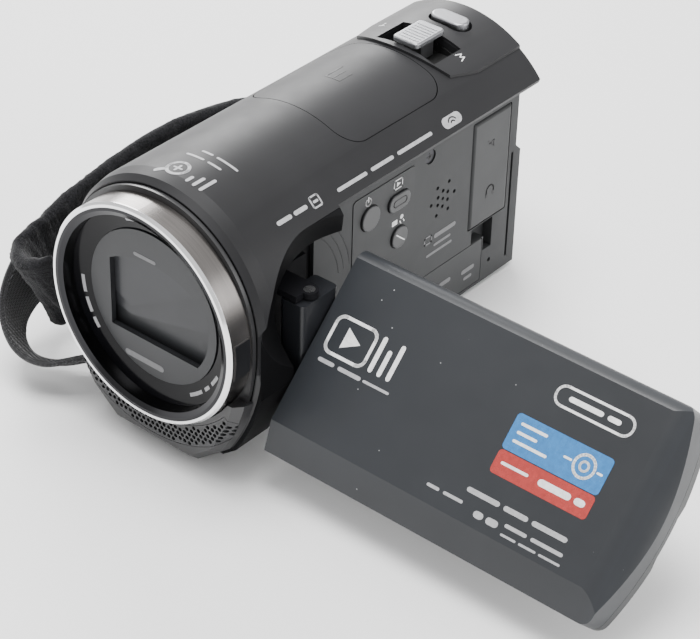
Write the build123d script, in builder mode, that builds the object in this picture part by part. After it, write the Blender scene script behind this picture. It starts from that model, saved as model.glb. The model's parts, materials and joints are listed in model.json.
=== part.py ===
"""Palm-size camcorder with a side LCD screen that swings out and turns over.

Millimetres. +Z is up, the lens looks along -Y, the screen is on the +X side and the hand strap on -X.
The origin is the mouth of the tripod socket on the flat base, straight under the lens axis.
Distances along the body, called depth here, are counted backwards from the lens ring's front face.
"""
import math
import os
from build123d import *

os.makedirs("parts", exist_ok=True)

# ---------------------------------------------------------------- driving dimensions
FRONT = -55.0           # Y of the lens ring's front face
TUBE_R = 28.3           # radius of the round upper casing
TUBE_Z = 37.7           # height of its axis
LENS_Z = 36.7           # height of the lens axis
WALL = 1.8              # casing wall
SEAM = 0.12             # gap at a casing joint
SHELL_START = 7.6       # depth of the casing's front edge
SHELL_END = 110.4       # depth of the casing's rear edge
BAY_END = 38.4          # depth where the hinge bay stops and the flat left wall starts
SIDE_X = 15.2           # outer face of the flat left wall
SIDE_T = 1.5            # its thickness
SIDE_TOP = 50.0         # its top edge
LIP = (21.9, 55.6)      # tip of the upper casing's lip over the left wall, x and z
SPLIT_Z = 30.0          # height of the joint between upper and lower casing
RING_R = 26.0           # lens ring
RING_L = 6.4
FILTER_R = 23.0         # its filter thread
NAME_R = 18.3           # inner edge of the sloped name ring
PANEL_L = 84.0          # screen housing, without its bulged free end
PANEL_W = 47.9
PANEL_T = 12.6
PANEL_BULGE = 3.6       # how far the free end bulges
PANEL_X = 27.1          # x of the housing's hinge end, at rest
PANEL_TILT = 44.75      # degrees that the open screen is tipped back at rest
TILT_AXIS = (28.1, 24.7)    # depth and height of the axis that the screen turns over on
SWING_AXIS = (24.6, 26.2)   # x and depth of the upright axis that the screen swings out on
KNUCKLE_X = (19.9, 26.6)
KNUCKLE_DEPTH = (21.9, 33.4)
KNUCKLE_Z = (10.6, 39.6)
SHOE_X = 15.4           # half width of the cover over the accessory shoe
SHOE_DEPTH = (49.8, 83.4)
DECK_DEPTH = 84.0       # front edge of the raised rear deck
LEVER_SLOT_X = (-7.0, 9.6)
LEVER_SLOT_DEPTH = (85.8, 95.4)
PHOTO_AT = (1.2, 102.4)     # x and depth of the still photo button
PLATE_DEPTH = (51.6, 73.2)  # button plate on the left wall
PLATE_Z = (25.6, 46.8)
POWER_AT = (57.4, 40.2)     # depth and height of the wall buttons
PLAYBACK_AT = (67.5, 40.0)
LIGHT_AT = (68.0, 30.2)
SPEAKER_AT = (84.3, 32.6)
WALL_SCREW_AT = (78.9, 46.2)
JACK_DEPTH = (94.9, 109.3)
JACK_Z = (18.4, 47.4)
CARD_DEPTH = (70.0, 100.8)
CARD_Z = (1.8, 13.6)
BATTERY_X = (-19.0, 8.0)
BATTERY_DEPTH = (102.5, 121.0)
BATTERY_Z = (5.4, 47.4)
RUN = 0.05              # radial clearance of a shaft that turns
FIT = 0.3               # gap round a piece that moves


def back(depth):
    """Y of a point that many millimetres behind the lens ring's front face."""
    return FRONT + depth


def block(x, depth, z, mode=Mode.ADD):
    """A box from its low and high x, depth and z."""
    with Locations(((x[0] + x[1]) / 2, back((depth[0] + depth[1]) / 2), (z[0] + z[1]) / 2)):
        Box(x[1] - x[0], depth[1] - depth[0], z[1] - z[0], mode=mode)


def bar(radius, depth, x=0.0, z=LENS_Z, mode=Mode.ADD):
    """A round bar along Y, from one depth to another."""
    with Locations((x, back((depth[0] + depth[1]) / 2), z)):
        Cylinder(radius, depth[1] - depth[0], rotation=(90, 0, 0), mode=mode)


def peg(radius, x, depth, z, mode=Mode.ADD):
    """A round peg along X, from one x to another."""
    with Locations(((x[0] + x[1]) / 2, back(depth), z)):
        Cylinder(radius, x[1] - x[0], rotation=(0, 90, 0), mode=mode)


def post(radius, x, depth, z, mode=Mode.ADD):
    """An upright round post, from one height to another."""
    with Locations((x, back(depth), (z[0] + z[1]) / 2)):
        Cylinder(radius, z[1] - z[0], mode=mode)


def turned(points):
    """Half-section of a piece turned about the lens axis, from (radius, depth) points."""
    with BuildSketch(Plane.YZ) as half:
        with BuildLine():
            Polyline(*[(back(depth), LENS_Z + radius) for radius, depth in points], close=True)
        make_face()
    return half.sketch


def save(name, piece):
    """Label a finished piece and write it to its own file."""
    piece.part.label = name
    export_step(piece.part, f"parts/{name}.step")


def grown(span, gap):
    """A span widened by a gap at both ends."""
    return (span[0] - gap, span[1] + gap)


LENS_AXIS = Axis((0, 0, LENS_Z), (0, 1, 0))


# ---------------------------------------------------------------- casing outlines
def full_outline(depth, inset):
    """Section of the closed front of the casing: round top, narrowing sides, flat base."""
    with BuildSketch(Plane.XZ.offset(-back(depth))) as section:
        with BuildLine():
            CenterArc((0, TUBE_Z), TUBE_R, 0, 180)
            ThreePointArc((-TUBE_R, TUBE_Z), (-26.4, 19.0), (-19.5, 6.0))
            Polyline((-19.5, 6.0), (-12.0, 0.0), (12.0, 0.0), (19.5, 6.0))
            ThreePointArc((19.5, 6.0), (25.8, 19.5), (TUBE_R, TUBE_Z))
        make_face()
        if inset:
            offset(amount=-inset, kind=Kind.INTERSECTION)
    return section.sketch


def rear_outline(depth, inset):
    """Section behind the hinge bay, where the left side is a lip over a flat wall."""
    lip_angle = math.degrees(math.atan2(LIP[1] - TUBE_Z, LIP[0]))
    tip = (TUBE_R * math.cos(math.radians(lip_angle)), TUBE_Z + TUBE_R * math.sin(math.radians(lip_angle)))
    with BuildSketch(Plane.XZ.offset(-back(depth))) as section:
        with BuildLine():
            CenterArc((0, TUBE_Z), TUBE_R, lip_angle, 180 - lip_angle)
            ThreePointArc((-TUBE_R, TUBE_Z), (-26.4, 19.0), (-19.5, 6.0))
            Polyline((-19.5, 6.0), (-12.0, 0.0), (SIDE_X - 0.8, 0.0), (SIDE_X, 0.8), (SIDE_X, SIDE_TOP),
                     (tip[0] - 0.4, tip[1] - 1.0), tip)
        make_face()
        if inset:
            offset(amount=-inset, kind=Kind.INTERSECTION)
    return section.sketch


# ---------------------------------------------------------------- hollow casing, cut into its pieces below
RIM_IN = 1.5            # how far the casing's front edge tapers in
RIM_L = 4.5             # and over what length
BAY_X = 14.2            # floor of the hinge bay
BAY_FRONT = 19.0        # depth of its front end
BAY_FLOOR_Z = 5.0
BAY_ARCH = (33.5, 35.0, 14.5)   # depth, height and radius of its arched top corner
DISH_AT = (28.2, 27.0, 36.0)    # x, depth and height of the middle of the scoop's mouth
DISH_R = 19.8
DISH_LEAN = 18.0        # degrees that the scoop leans up
DISH_DEPTH = 8.6
DISH_FLOOR_R = 5.0
SWEEP_R = 25.4          # room for the screen to turn over beside the casing
SWEEP_X = 26.7
CLOSED_X = 16.0         # room under the bay for the lower edge of the closed screen
CLOSED_DEPTH = 28.2

with BuildPart() as casing:
    loft([full_outline(SHELL_START, RIM_IN), full_outline(SHELL_START + RIM_IN, RIM_IN / 3),
          full_outline(SHELL_START + RIM_L, 0)], ruled=True)
    extrude(to_extrude=full_outline(SHELL_START + RIM_L, 0), amount=BAY_END - SHELL_START - RIM_L, dir=(0, 1, 0))
    extrude(to_extrude=rear_outline(BAY_END, 0), amount=SHELL_END - BAY_END, dir=(0, 1, 0))
    extrude(to_extrude=full_outline(SHELL_START, WALL), amount=BAY_END - WALL - SHELL_START, dir=(0, 1, 0),
            mode=Mode.SUBTRACT)
    extrude(to_extrude=rear_outline(BAY_END - WALL - 0.1, WALL), amount=SHELL_END - BAY_END + WALL + 0.1,
            dir=(0, 1, 0), mode=Mode.SUBTRACT)

with BuildPart() as bay_room:
    with BuildSketch(Plane.YZ.offset(BAY_X)):
        with BuildLine():
            Polyline((back(BAY_FRONT), BAY_ARCH[1]), (back(BAY_FRONT), BAY_FLOOR_Z), (back(BAY_END), BAY_FLOOR_Z),
                     (back(BAY_END), BAY_ARCH[1] + BAY_ARCH[2]), (back(BAY_ARCH[0]), BAY_ARCH[1] + BAY_ARCH[2]))
            CenterArc((back(BAY_ARCH[0]), BAY_ARCH[1]), BAY_ARCH[2], 90, 90)
        make_face()
    extrude(amount=30)

with BuildPart() as scoop_room:
    with Locations(Location((DISH_AT[0], back(DISH_AT[1]), DISH_AT[2]), (0, 90 - DISH_LEAN, 0))):
        Cone(DISH_FLOOR_R, DISH_R, DISH_DEPTH, align=(Align.CENTER, Align.CENTER, Align.MAX))
        Cone(DISH_R, DISH_R + 9.0, 4.7, align=(Align.CENTER, Align.CENTER, Align.MIN))
    block((10, 60), (BAY_END, 80), (0, 90), mode=Mode.SUBTRACT)

with BuildPart() as sweep_room:
    peg(SWEEP_R, (SWEEP_X, SWEEP_X + 10), TILT_AXIS[0], TILT_AXIS[1])


ARCH_R = 19.0           # seam of the hinge cover in the casing: an arch seen from the side
ARCH_AT = (27.6, 36.0)


def arch_room(gap):
    """The space of the hinge cover, from the side: straight front edge, round top corner."""
    with BuildPart() as room:
        with BuildSketch(Plane.YZ.offset(BAY_X - WALL - gap)):
            with BuildLine():
                Polyline((back(ARCH_AT[0] - ARCH_R - gap), ARCH_AT[1]), (back(ARCH_AT[0] - ARCH_R - gap), 3.0 - gap),
                         (back(BAY_END), 3.0 - gap), (back(BAY_END), ARCH_AT[1] + ARCH_R + gap),
                         (back(ARCH_AT[0]), ARCH_AT[1] + ARCH_R + gap))
                CenterArc((back(ARCH_AT[0]), ARCH_AT[1]), ARCH_R + gap, 90, 90)
            make_face()
        extrude(amount=30)
    return room.part


def shoe_outline(gap, depth=SHOE_DEPTH, half_width=SHOE_X, corner=5.5):
    """Rounded rectangle over the accessory shoe, seen from above."""
    with BuildSketch(Plane.XY.offset(50)) as area:
        with Locations((0, back((depth[0] + depth[1]) / 2))):
            RectangleRounded(2 * (half_width + gap), depth[1] - depth[0] + 2 * gap, corner)
    return area.sketch


HINGE_SPACE = arch_room(SEAM)
HINGE_FILL = arch_room(0)

# ---------------------------------------------------------------- upper casing and its openings
with BuildPart() as top_shell:
    add(casing.part)
    block((-40, 40), (0, 130), (-5, SPLIT_Z + SEAM), mode=Mode.SUBTRACT)
    block((10, 30), (BAY_END - 3, 130), (0, SIDE_TOP + SEAM), mode=Mode.SUBTRACT)
    add(HINGE_SPACE, mode=Mode.SUBTRACT)
    add(sweep_room.part, mode=Mode.SUBTRACT)
    extrude(to_extrude=shoe_outline(SEAM), amount=20, mode=Mode.SUBTRACT)
    block(LEVER_SLOT_X, LEVER_SLOT_DEPTH, (55, 70), mode=Mode.SUBTRACT)
    with BuildSketch(Plane.XY.offset(55)):
        with Locations((PHOTO_AT[0], back(PHOTO_AT[1]))):
            SlotOverall(11.2, 6.0)
    extrude(amount=15, mode=Mode.SUBTRACT)
save("top_shell", top_shell)

with BuildPart() as hinge_cover:
    extrude(to_extrude=full_outline(SHELL_START, 0), amount=BAY_END - SHELL_START, dir=(0, 1, 0))
    add(HINGE_FILL, mode=Mode.INTERSECT)
    add(bay_room.part, mode=Mode.SUBTRACT)
    add(scoop_room.part, mode=Mode.SUBTRACT)
    add(sweep_room.part, mode=Mode.SUBTRACT)
    block((CLOSED_X, 40), (CLOSED_DEPTH, BAY_END + 1), (0, BAY_FLOOR_Z + 1), mode=Mode.SUBTRACT)
save("hinge_cover", hinge_cover)

with BuildPart() as right_cover:
    add(casing.part)
    block((-40, 40), (0, 130), (SPLIT_Z, 80), mode=Mode.SUBTRACT)
    block((-10, 40), (0, 130), (-5, 80), mode=Mode.SUBTRACT)
save("right_cover", right_cover)

BASE_SCREWS = ((-6.0, 24.0), (8.0, 24.0), (-6.0, 92.0), (9.0, 92.0))    # x and depth
SCREW_HEAD_R = 1.7
RELEASE_AT = (-1.0, 103.0)      # battery release, x and depth
with BuildPart() as bottom_cover:
    add(casing.part)
    block((-40, 40), (0, 130), (SPLIT_Z, 80), mode=Mode.SUBTRACT)
    block((-40, -10 + SEAM), (0, 130), (-5, 80), mode=Mode.SUBTRACT)
    add(HINGE_SPACE, mode=Mode.SUBTRACT)
    add(sweep_room.part, mode=Mode.SUBTRACT)
    block((SIDE_X - SIDE_T - SEAM, 30), (BAY_END, 130), (0.8 - SEAM, 60), mode=Mode.SUBTRACT)
    block((SIDE_X - WALL - SEAM, 30), (BAY_END, 130), (WALL, 60), mode=Mode.SUBTRACT)
    post(6.2 + SEAM, 0, -FRONT, (-1, 8), mode=Mode.SUBTRACT)
    for x, depth in BASE_SCREWS:
        post(SCREW_HEAD_R + SEAM, x, depth, (-1, 5), mode=Mode.SUBTRACT)
    block((RELEASE_AT[0] - 8, RELEASE_AT[0] + 8), (RELEASE_AT[1] - 3, RELEASE_AT[1] + 3), (-1, 5), mode=Mode.SUBTRACT)
save("bottom_cover", bottom_cover)

# ---------------------------------------------------------------- flat left wall and what is in it
RECESS = ((96.4, 104.6), (13.9, 18.0))      # finger recess beside the two covers
RESET_AT = (104.2, 5.8)
GROOVE = (110.6, 111.4)


def wall_rectangle(depth, z, x, gap=0.0, corner=1.2):
    """Rounded rectangle on the left wall, on the plane at that x."""
    with BuildSketch(Plane.YZ.offset(x)) as area:
        with Locations((back((depth[0] + depth[1]) / 2), (z[0] + z[1]) / 2)):
            RectangleRounded(depth[1] - depth[0] + 2 * gap, z[1] - z[0] + 2 * gap, corner)
    return area.sketch


def wall_slot(at, length, width, x):
    """Pill shape along the wall."""
    with BuildSketch(Plane.YZ.offset(x)) as area:
        with Locations((back(at[0]), at[1])):
            SlotOverall(length, width)
    return area.sketch


INSIDE_X = SIDE_X - SIDE_T
with BuildPart() as left_side_panel:
    with BuildSketch(Plane.YZ.offset(INSIDE_X)):
        with BuildLine():
            Polyline((back(BAY_END + SEAM), 0.8), (back(BAY_END + SEAM), SIDE_TOP - SEAM),
                     (back(112.3), SIDE_TOP - SEAM), (back(112.3), 34.4), (back(114.2), 32.6),
                     (back(114.2), 0.8), close=True)
        make_face()
        fillet(vertices().filter_by(lambda v: v.Y > back(114) and v.Z < 5), radius=5.0)
    extrude(amount=SIDE_T)
    with BuildSketch(Plane.YZ.offset(INSIDE_X - 2.4)):
        with Locations((back(101.4), 13.9)):
            Rectangle(9.6, 9.4)
    extrude(amount=2.4)
    extrude(to_extrude=wall_rectangle(PLATE_DEPTH, PLATE_Z, INSIDE_X - 1, gap=SEAM), amount=4, mode=Mode.SUBTRACT)
    extrude(to_extrude=wall_rectangle(JACK_DEPTH, JACK_Z, INSIDE_X - 1, gap=0.2, corner=0.6), amount=4,
            mode=Mode.SUBTRACT)
    extrude(to_extrude=wall_rectangle(CARD_DEPTH, CARD_Z, INSIDE_X - 1, gap=0.2, corner=0.6), amount=4,
            mode=Mode.SUBTRACT)
    block((INSIDE_X - 1.2, 20), RECESS[0], RECESS[1], mode=Mode.SUBTRACT)
    block((INSIDE_X - 1.2, 20), (CARD_DEPTH[1] + 0.5, RECESS[0][1]), (9.8, RECESS[1][1]), mode=Mode.SUBTRACT)
    block((SIDE_X - 0.9, 20), GROOVE, (3.6, 33.0), mode=Mode.SUBTRACT)
    peg(0.6, (10, 20), RESET_AT[0], RESET_AT[1], mode=Mode.SUBTRACT)
    peg(SCREW_HEAD_R + SEAM, (10, 20), WALL_SCREW_AT[0], WALL_SCREW_AT[1], mode=Mode.SUBTRACT)
    peg(0.45, (10, 20), SPEAKER_AT[0], SPEAKER_AT[1], mode=Mode.SUBTRACT)
    speaker_plane = Plane(origin=(INSIDE_X, back(SPEAKER_AT[0]), SPEAKER_AT[1]), x_dir=(0, 1, 0), z_dir=(1, 0, 0))
    with BuildSketch(speaker_plane):
        with PolarLocations(2.1, 6, start_angle=30):
            Circle(0.5)
        with PolarLocations(4.3, 6):
            Circle(0.5)
    extrude(amount=SIDE_T, mode=Mode.SUBTRACT)
save("left_side_panel", left_side_panel)

PLATE_FACE = SIDE_X + 0.15
with BuildPart() as button_plate:
    extrude(to_extrude=wall_rectangle(PLATE_DEPTH, PLATE_Z, INSIDE_X + 0.2, corner=1.1), amount=PLATE_FACE - INSIDE_X - 0.2)
    peg(3.15 + 0.15, (10, 20), POWER_AT[0], POWER_AT[1], mode=Mode.SUBTRACT)
    peg(2.8 + 0.15, (10, 20), LIGHT_AT[0], LIGHT_AT[1], mode=Mode.SUBTRACT)
    extrude(to_extrude=wall_slot(PLAYBACK_AT, 7.9, 4.7, INSIDE_X - 1), amount=5, mode=Mode.SUBTRACT)
save("button_plate", button_plate)

BUTTON_TOP = SIDE_X + 0.75
BUTTON_FLANGE = (12.2, 12.8)
for name, at, radius in (("power_button", POWER_AT, 3.15), ("light_button", LIGHT_AT, 2.8)):
    with BuildPart() as round_button:
        peg(radius, (BUTTON_FLANGE[0], BUTTON_TOP), at[0], at[1])
        peg(radius + 0.7, BUTTON_FLANGE, at[0], at[1])
        fillet(round_button.edges().sort_by(Axis.X)[-1], radius=0.35)
    save(name, round_button)

with BuildPart() as playback_button:
    extrude(to_extrude=wall_slot(PLAYBACK_AT, 7.6, 4.4, BUTTON_FLANGE[0]), amount=BUTTON_TOP - BUTTON_FLANGE[0])
    fillet(playback_button.faces().sort_by(Axis.X)[-1].edges(), radius=0.35)
    extrude(to_extrude=wall_slot(PLAYBACK_AT, 8.8, 5.4, BUTTON_FLANGE[0]), amount=0.6)
save("playback_button", playback_button)

with BuildPart() as switch_board:
    block((9.9, 10.8), (53.0, 72.5), (26.2, 46.0))
    for at in (POWER_AT, LIGHT_AT, PLAYBACK_AT):
        peg(1.6, (10.8, 11.4), at[0], at[1])
save("switch_board", switch_board)

with BuildPart() as speaker_unit:
    peg(6.6, (10.4, INSIDE_X - 0.05), SPEAKER_AT[0], SPEAKER_AT[1])
    peg(5.6, (INSIDE_X - 0.8, INSIDE_X), SPEAKER_AT[0], SPEAKER_AT[1], mode=Mode.SUBTRACT)
    peg(3.6, (9.6, 10.4), SPEAKER_AT[0], SPEAKER_AT[1])
save("speaker_unit", speaker_unit)

COVER_FACE = SIDE_X + 0.35
with BuildPart() as jack_cover:
    extrude(to_extrude=wall_rectangle(JACK_DEPTH, JACK_Z, INSIDE_X + 0.2, corner=0.5), amount=COVER_FACE - INSIDE_X - 0.2)
    front_edge = jack_cover.faces().sort_by(Axis.X)[-1].edges().sort_by(Axis.Y)[0]
    fillet(front_edge, radius=0.9)
save("jack_cover", jack_cover)

with BuildPart() as card_cover:
    extrude(to_extrude=wall_rectangle(CARD_DEPTH, CARD_Z, INSIDE_X + 0.2, corner=0.5), amount=SIDE_X - INSIDE_X - 0.2)
save("card_cover", card_cover)

with BuildPart() as headphone_jack:
    block((9.8, INSIDE_X - 0.3), (98.2, 107.2), (21.6, 30.6))
    peg(1.75, (10.4, 20), 102.7, 26.1, mode=Mode.SUBTRACT)
save("headphone_jack", headphone_jack)

with BuildPart() as multi_port:
    block((9.8, INSIDE_X - 0.3), (97.6, 107.8), (34.6, 44.2))
    block((10.6, 20), (99.0, 106.4), (37.6, 41.2), mode=Mode.SUBTRACT)
save("multi_port", multi_port)

with BuildPart() as card_slot:
    block((-9.8, 13.2), (71.6, 95.8), (4.6, 9.8))
    block((-9.0, 20), (72.6, 94.8), (5.6, 8.4), mode=Mode.SUBTRACT)
save("card_slot", card_slot)

# ---------------------------------------------------------------- lens ring, barrier and lens
with BuildPart() as lens_ring:
    revolve(turned([(FILTER_R, 0.5), (24.1, 0.0), (25.5, 0.0), (RING_R, 0.6), (RING_R, RING_L), (24.6, RING_L),
                    (24.6, 3.5), (FILTER_R, 3.5)]), axis=LENS_AXIS)
save("lens_ring", lens_ring)

with BuildPart() as name_ring:
    revolve(turned([(24.5, 3.6), (22.9, 3.6), (NAME_R, 4.5), (NAME_R, 4.95), (24.5, 4.95)]), axis=LENS_AXIS)
save("name_ring", name_ring)

HOUSING_R = 24.4        # room for the lens barrier inside the ring
WINDOW_LEFT = -12.4     # barrier window, from the lens axis
WINDOW_LOW = -9.7
WINDOW_TOP = 10.8
UPPER_TRAVEL = 12.6
LOWER_TRAVEL = 5.2
FRONT_PLANE = Plane(origin=(0, FRONT, LENS_Z), x_dir=(1, 0, 0), z_dir=(0, -1, 0))


def window():
    """Barrier window: straight left and lower edges, rounded top and right edges."""
    with BuildSketch(FRONT_PLANE) as shape:
        with Locations((0, 0)):
            Circle(16.0)
        with Locations((WINDOW_LEFT, WINDOW_LOW)):
            Rectangle(40, 40, align=(Align.MIN, Align.MIN), mode=Mode.INTERSECT)
        with Locations((0, WINDOW_TOP - 23.4)):
            Circle(23.4, mode=Mode.INTERSECT)
    return shape.sketch


def blade(outline, depth, thick):
    """A barrier blade from its outline seen from the front, trimmed to the housing."""
    with BuildPart() as plate:
        with BuildSketch(FRONT_PLANE.offset(-depth)):
            with BuildLine():
                Polyline(*outline, close=True)
            make_face()
        extrude(amount=-thick)
    return plate.part


with BuildPart() as barrier_frame:
    revolve(turned([(0.0, 4.2), (NAME_R - 0.1, 4.2), (NAME_R - 0.1, 5.05), (HOUSING_R, 5.05), (HOUSING_R, 5.5),
                    (0.0, 5.5)]), axis=LENS_AXIS)
    extrude(to_extrude=window(), amount=12, dir=(0, 1, 0), mode=Mode.SUBTRACT)
save("barrier_frame", barrier_frame)

BLADE_X = (-14.0, 16.4)
BLADE_TOP = 12.5
UPPER_EDGE = [(BLADE_X[0], -5.4), (-8.2, -6.6), (BLADE_X[1], -0.7)]     # lower edge of the upper blade
STEP_EDGE = [(BLADE_X[0], -1.2), (-7.7, -3.9), (12.9, 7.6), (BLADE_X[1], 6.4)]  # step across the upper blade
LOWER_EDGE = [(BLADE_X[0], -4.4), (-8.2, -5.6), (BLADE_X[1], 0.3)]      # hidden upper edge of the lower blade
with BuildPart() as barrier_blade_upper:
    add(blade(UPPER_EDGE + [(BLADE_X[1], BLADE_TOP), (BLADE_X[0], BLADE_TOP)], 6.15, 0.4))
    add(blade(STEP_EDGE + [(BLADE_X[1], BLADE_TOP), (BLADE_X[0], BLADE_TOP)], 5.65, 0.55))
    with BuildSketch(FRONT_PLANE.offset(-5.0)):
        with Locations((0, -UPPER_TRAVEL)):
            Circle(HOUSING_R - FIT)
    extrude(amount=-3, mode=Mode.INTERSECT)
save("barrier_blade_upper", barrier_blade_upper)

with BuildPart() as barrier_blade_lower:
    add(blade(LOWER_EDGE + [(BLADE_X[1], -BLADE_TOP), (BLADE_X[0], -BLADE_TOP)], 6.7, 0.4))
    with BuildSketch(FRONT_PLANE.offset(-5.0)):
        with Locations((0, LOWER_TRAVEL)):
            Circle(HOUSING_R - FIT)
    extrude(amount=-3, mode=Mode.INTERSECT)
save("barrier_blade_lower", barrier_blade_lower)

APERTURE_R = 7.8
with BuildPart() as barrier_base:
    revolve(turned([(APERTURE_R, 7.25), (HOUSING_R, 7.25), (HOUSING_R, 8.1), (APERTURE_R, 8.1)]), axis=LENS_AXIS)
save("barrier_base", barrier_base)

BARREL_FRONT_R = 11.6
BARREL_R = 9.8
with BuildPart() as lens_barrel:
    revolve(turned([(BARREL_FRONT_R, 8.3), (BARREL_FRONT_R, 19.0), (BARREL_R, 20.5), (BARREL_R, 58.0),
                    (8.8, 58.0), (8.8, 19.2), (10.6, 17.4), (10.6, 8.3)]), axis=LENS_AXIS)
save("lens_barrel", lens_barrel)

with BuildPart() as front_lens:
    revolve(turned([(0.0, 8.8), (4.0, 9.1), (8.0, 10.1), (10.5, 11.3), (10.5, 13.4), (0.0, 13.4)]), axis=LENS_AXIS)
save("front_lens", front_lens)

for name, start, thick, glass_r in (("zoom_lens_group", 24.0, 5.0, 7.0), ("focus_lens_group", 41.0, 4.0, 6.0)):
    with BuildPart() as lens_group:
        revolve(turned([(0.0, start), (glass_r, start + 1.0), (8.7, start + 1.0), (8.7, start + thick - 1.0),
                        (glass_r, start + thick - 1.0), (0.0, start + thick)]), axis=LENS_AXIS)
    save(name, lens_group)

with BuildPart() as image_sensor:
    block((-6.5, 6.5), (58.1, 59.6), (LENS_Z - 5, LENS_Z + 5))
save("image_sensor", image_sensor)

with BuildPart() as sensor_board:
    block((-9.5, 9.5), (59.6, 60.8), (LENS_Z - 9, LENS_Z + 9))
save("sensor_board", sensor_board)

# ---------------------------------------------------------------- front bezel under the ring, with the microphones
BEZEL_DEPTH = (3.2, 7.5)
BEZEL_TOP = 22.5
GRILLE_R = (27.6, 32.6)
GRILLE_HALF_ANGLE = 50.0


def bezel_body():
    """The rounded front of the bezel, before the ring and the grille are cut from it."""
    with BuildPart() as body:
        loft([full_outline(BEZEL_DEPTH[0], 3.2), full_outline(BEZEL_DEPTH[0] + 2.0, 1.5),
              full_outline(BEZEL_DEPTH[1], 1.0)], ruled=True)
    return body.part


def grille_sector(gap):
    """Part of a ring round the lens axis, under it."""
    reach = 60 * math.tan(math.radians(GRILLE_HALF_ANGLE))
    with BuildSketch(FRONT_PLANE) as sector:
        Circle(GRILLE_R[1] + gap)
        Circle(GRILLE_R[0] - gap, mode=Mode.SUBTRACT)
        with BuildLine():
            Polyline((0, 2 * gap), (-reach, -60), (reach, -60), close=True)
        make_face(mode=Mode.INTERSECT)
    return sector.sketch


with BuildPart() as front_bezel:
    add(bezel_body())
    bar(RING_R + FIT, (0, RING_L + 0.1), mode=Mode.SUBTRACT)
    block((-40, 40), (0, 12), (BEZEL_TOP, 80), mode=Mode.SUBTRACT)
    extrude(to_extrude=full_outline(RING_L + 0.1, WALL + 0.2), amount=BEZEL_DEPTH[1] - RING_L - 0.1, dir=(0, 1, 0))
    bar(HOUSING_R + 0.1, (0, 12), mode=Mode.SUBTRACT)
    extrude(to_extrude=grille_sector(0.1), amount=5.6, dir=(0, 1, 0), mode=Mode.SUBTRACT)
save("front_bezel", front_bezel)

with BuildPart() as mic_grille:
    add(bezel_body())
    extrude(to_extrude=grille_sector(0), amount=5.5, dir=(0, 1, 0), mode=Mode.INTERSECT)
save("mic_grille", mic_grille)

with BuildPart() as ring_badge:
    bar(RING_R + 0.3, (1.4, 5.8))
    bar(RING_R + 0.02, (1, 7), mode=Mode.SUBTRACT)
    block((20, 30), (1, 7), (31.6, 40.2), mode=Mode.INTERSECT)
save("ring_badge", ring_badge)

with BuildPart() as microphones:
    for x in (-6.5, 6.5):
        bar(2.2, (8.4, 11.0), x=x, z=6.2)
save("microphones", microphones)

# ---------------------------------------------------------------- accessory shoe and its cover
COVER_T = 1.5
SHOE_FLOOR_Z = 57.6
with BuildPart() as shoe_tray:
    block((-14.2, 14.2), (51.0, 82.2), (SHOE_FLOOR_Z - 1.4, 63.0))
    block((-12.6, 12.6), (52.4, 80.8), (SHOE_FLOOR_Z, 66.0), mode=Mode.SUBTRACT)
    bar(TUBE_R - WALL - 0.6, (48, 85), z=TUBE_Z, mode=Mode.INTERSECT)
save("shoe_tray", shoe_tray)

SHOE_RAIL_X = (9.3, 10.8)
SHOE_LIP_X = 7.9
with BuildPart() as accessory_shoe:
    block((-SHOE_RAIL_X[1], SHOE_RAIL_X[1]), (54.0, 76.0), (SHOE_FLOOR_Z, 61.2))
    block((-SHOE_RAIL_X[0], SHOE_RAIL_X[0]), (54.0, 74.5), (SHOE_FLOOR_Z + 0.6, 60.4), mode=Mode.SUBTRACT)
    block((-SHOE_LIP_X, SHOE_LIP_X), (54.0, 74.5), (60.0, 62.0), mode=Mode.SUBTRACT)
save("accessory_shoe", accessory_shoe)

with BuildPart() as shoe_cover:
    bar(TUBE_R, (SHOE_DEPTH[0] - 2, SHOE_DEPTH[1] + 2), z=TUBE_Z)
    bar(TUBE_R - COVER_T, (SHOE_DEPTH[0] - 3, SHOE_DEPTH[1] + 3), z=TUBE_Z, mode=Mode.SUBTRACT)
    extrude(to_extrude=shoe_outline(-0.05), amount=20, mode=Mode.INTERSECT)
save("shoe_cover", shoe_cover)

# ---------------------------------------------------------------- raised rear deck with its controls
DECK_RAISE = 0.7
DECK_HALF = 15.6
DECK_TURN = 13.6
with BuildPart() as top_deck:
    bar(TUBE_R + DECK_RAISE, (DECK_DEPTH, SHELL_END), z=TUBE_Z)
    bar(TUBE_R + 0.05, (DECK_DEPTH - 1, SHELL_END + 1), z=TUBE_Z, mode=Mode.SUBTRACT)
    with BuildSketch(Plane.XY.offset(50)):
        with BuildLine():
            ThreePointArc((-DECK_TURN, back(DECK_DEPTH + 2.8)), (0, back(DECK_DEPTH)), (DECK_TURN, back(DECK_DEPTH + 2.8)))
            Polyline((DECK_TURN, back(DECK_DEPTH + 2.8)), (DECK_HALF, back(94.5)), (DECK_HALF, back(SHELL_END)),
                     (-DECK_HALF, back(SHELL_END)), (-DECK_HALF, back(94.5)), (-DECK_TURN, back(DECK_DEPTH + 2.8)))
        make_face()
    extrude(amount=20, mode=Mode.INTERSECT)
    block(grown(LEVER_SLOT_X, 0.1), grown(LEVER_SLOT_DEPTH, 0.1), (55, 70), mode=Mode.SUBTRACT)
    with BuildSketch(Plane.XY.offset(55)):
        with Locations((PHOTO_AT[0], back(PHOTO_AT[1]))):
            SlotOverall(11.2, 6.0)
    extrude(amount=15, mode=Mode.SUBTRACT)
save("top_deck", top_deck)

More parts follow.
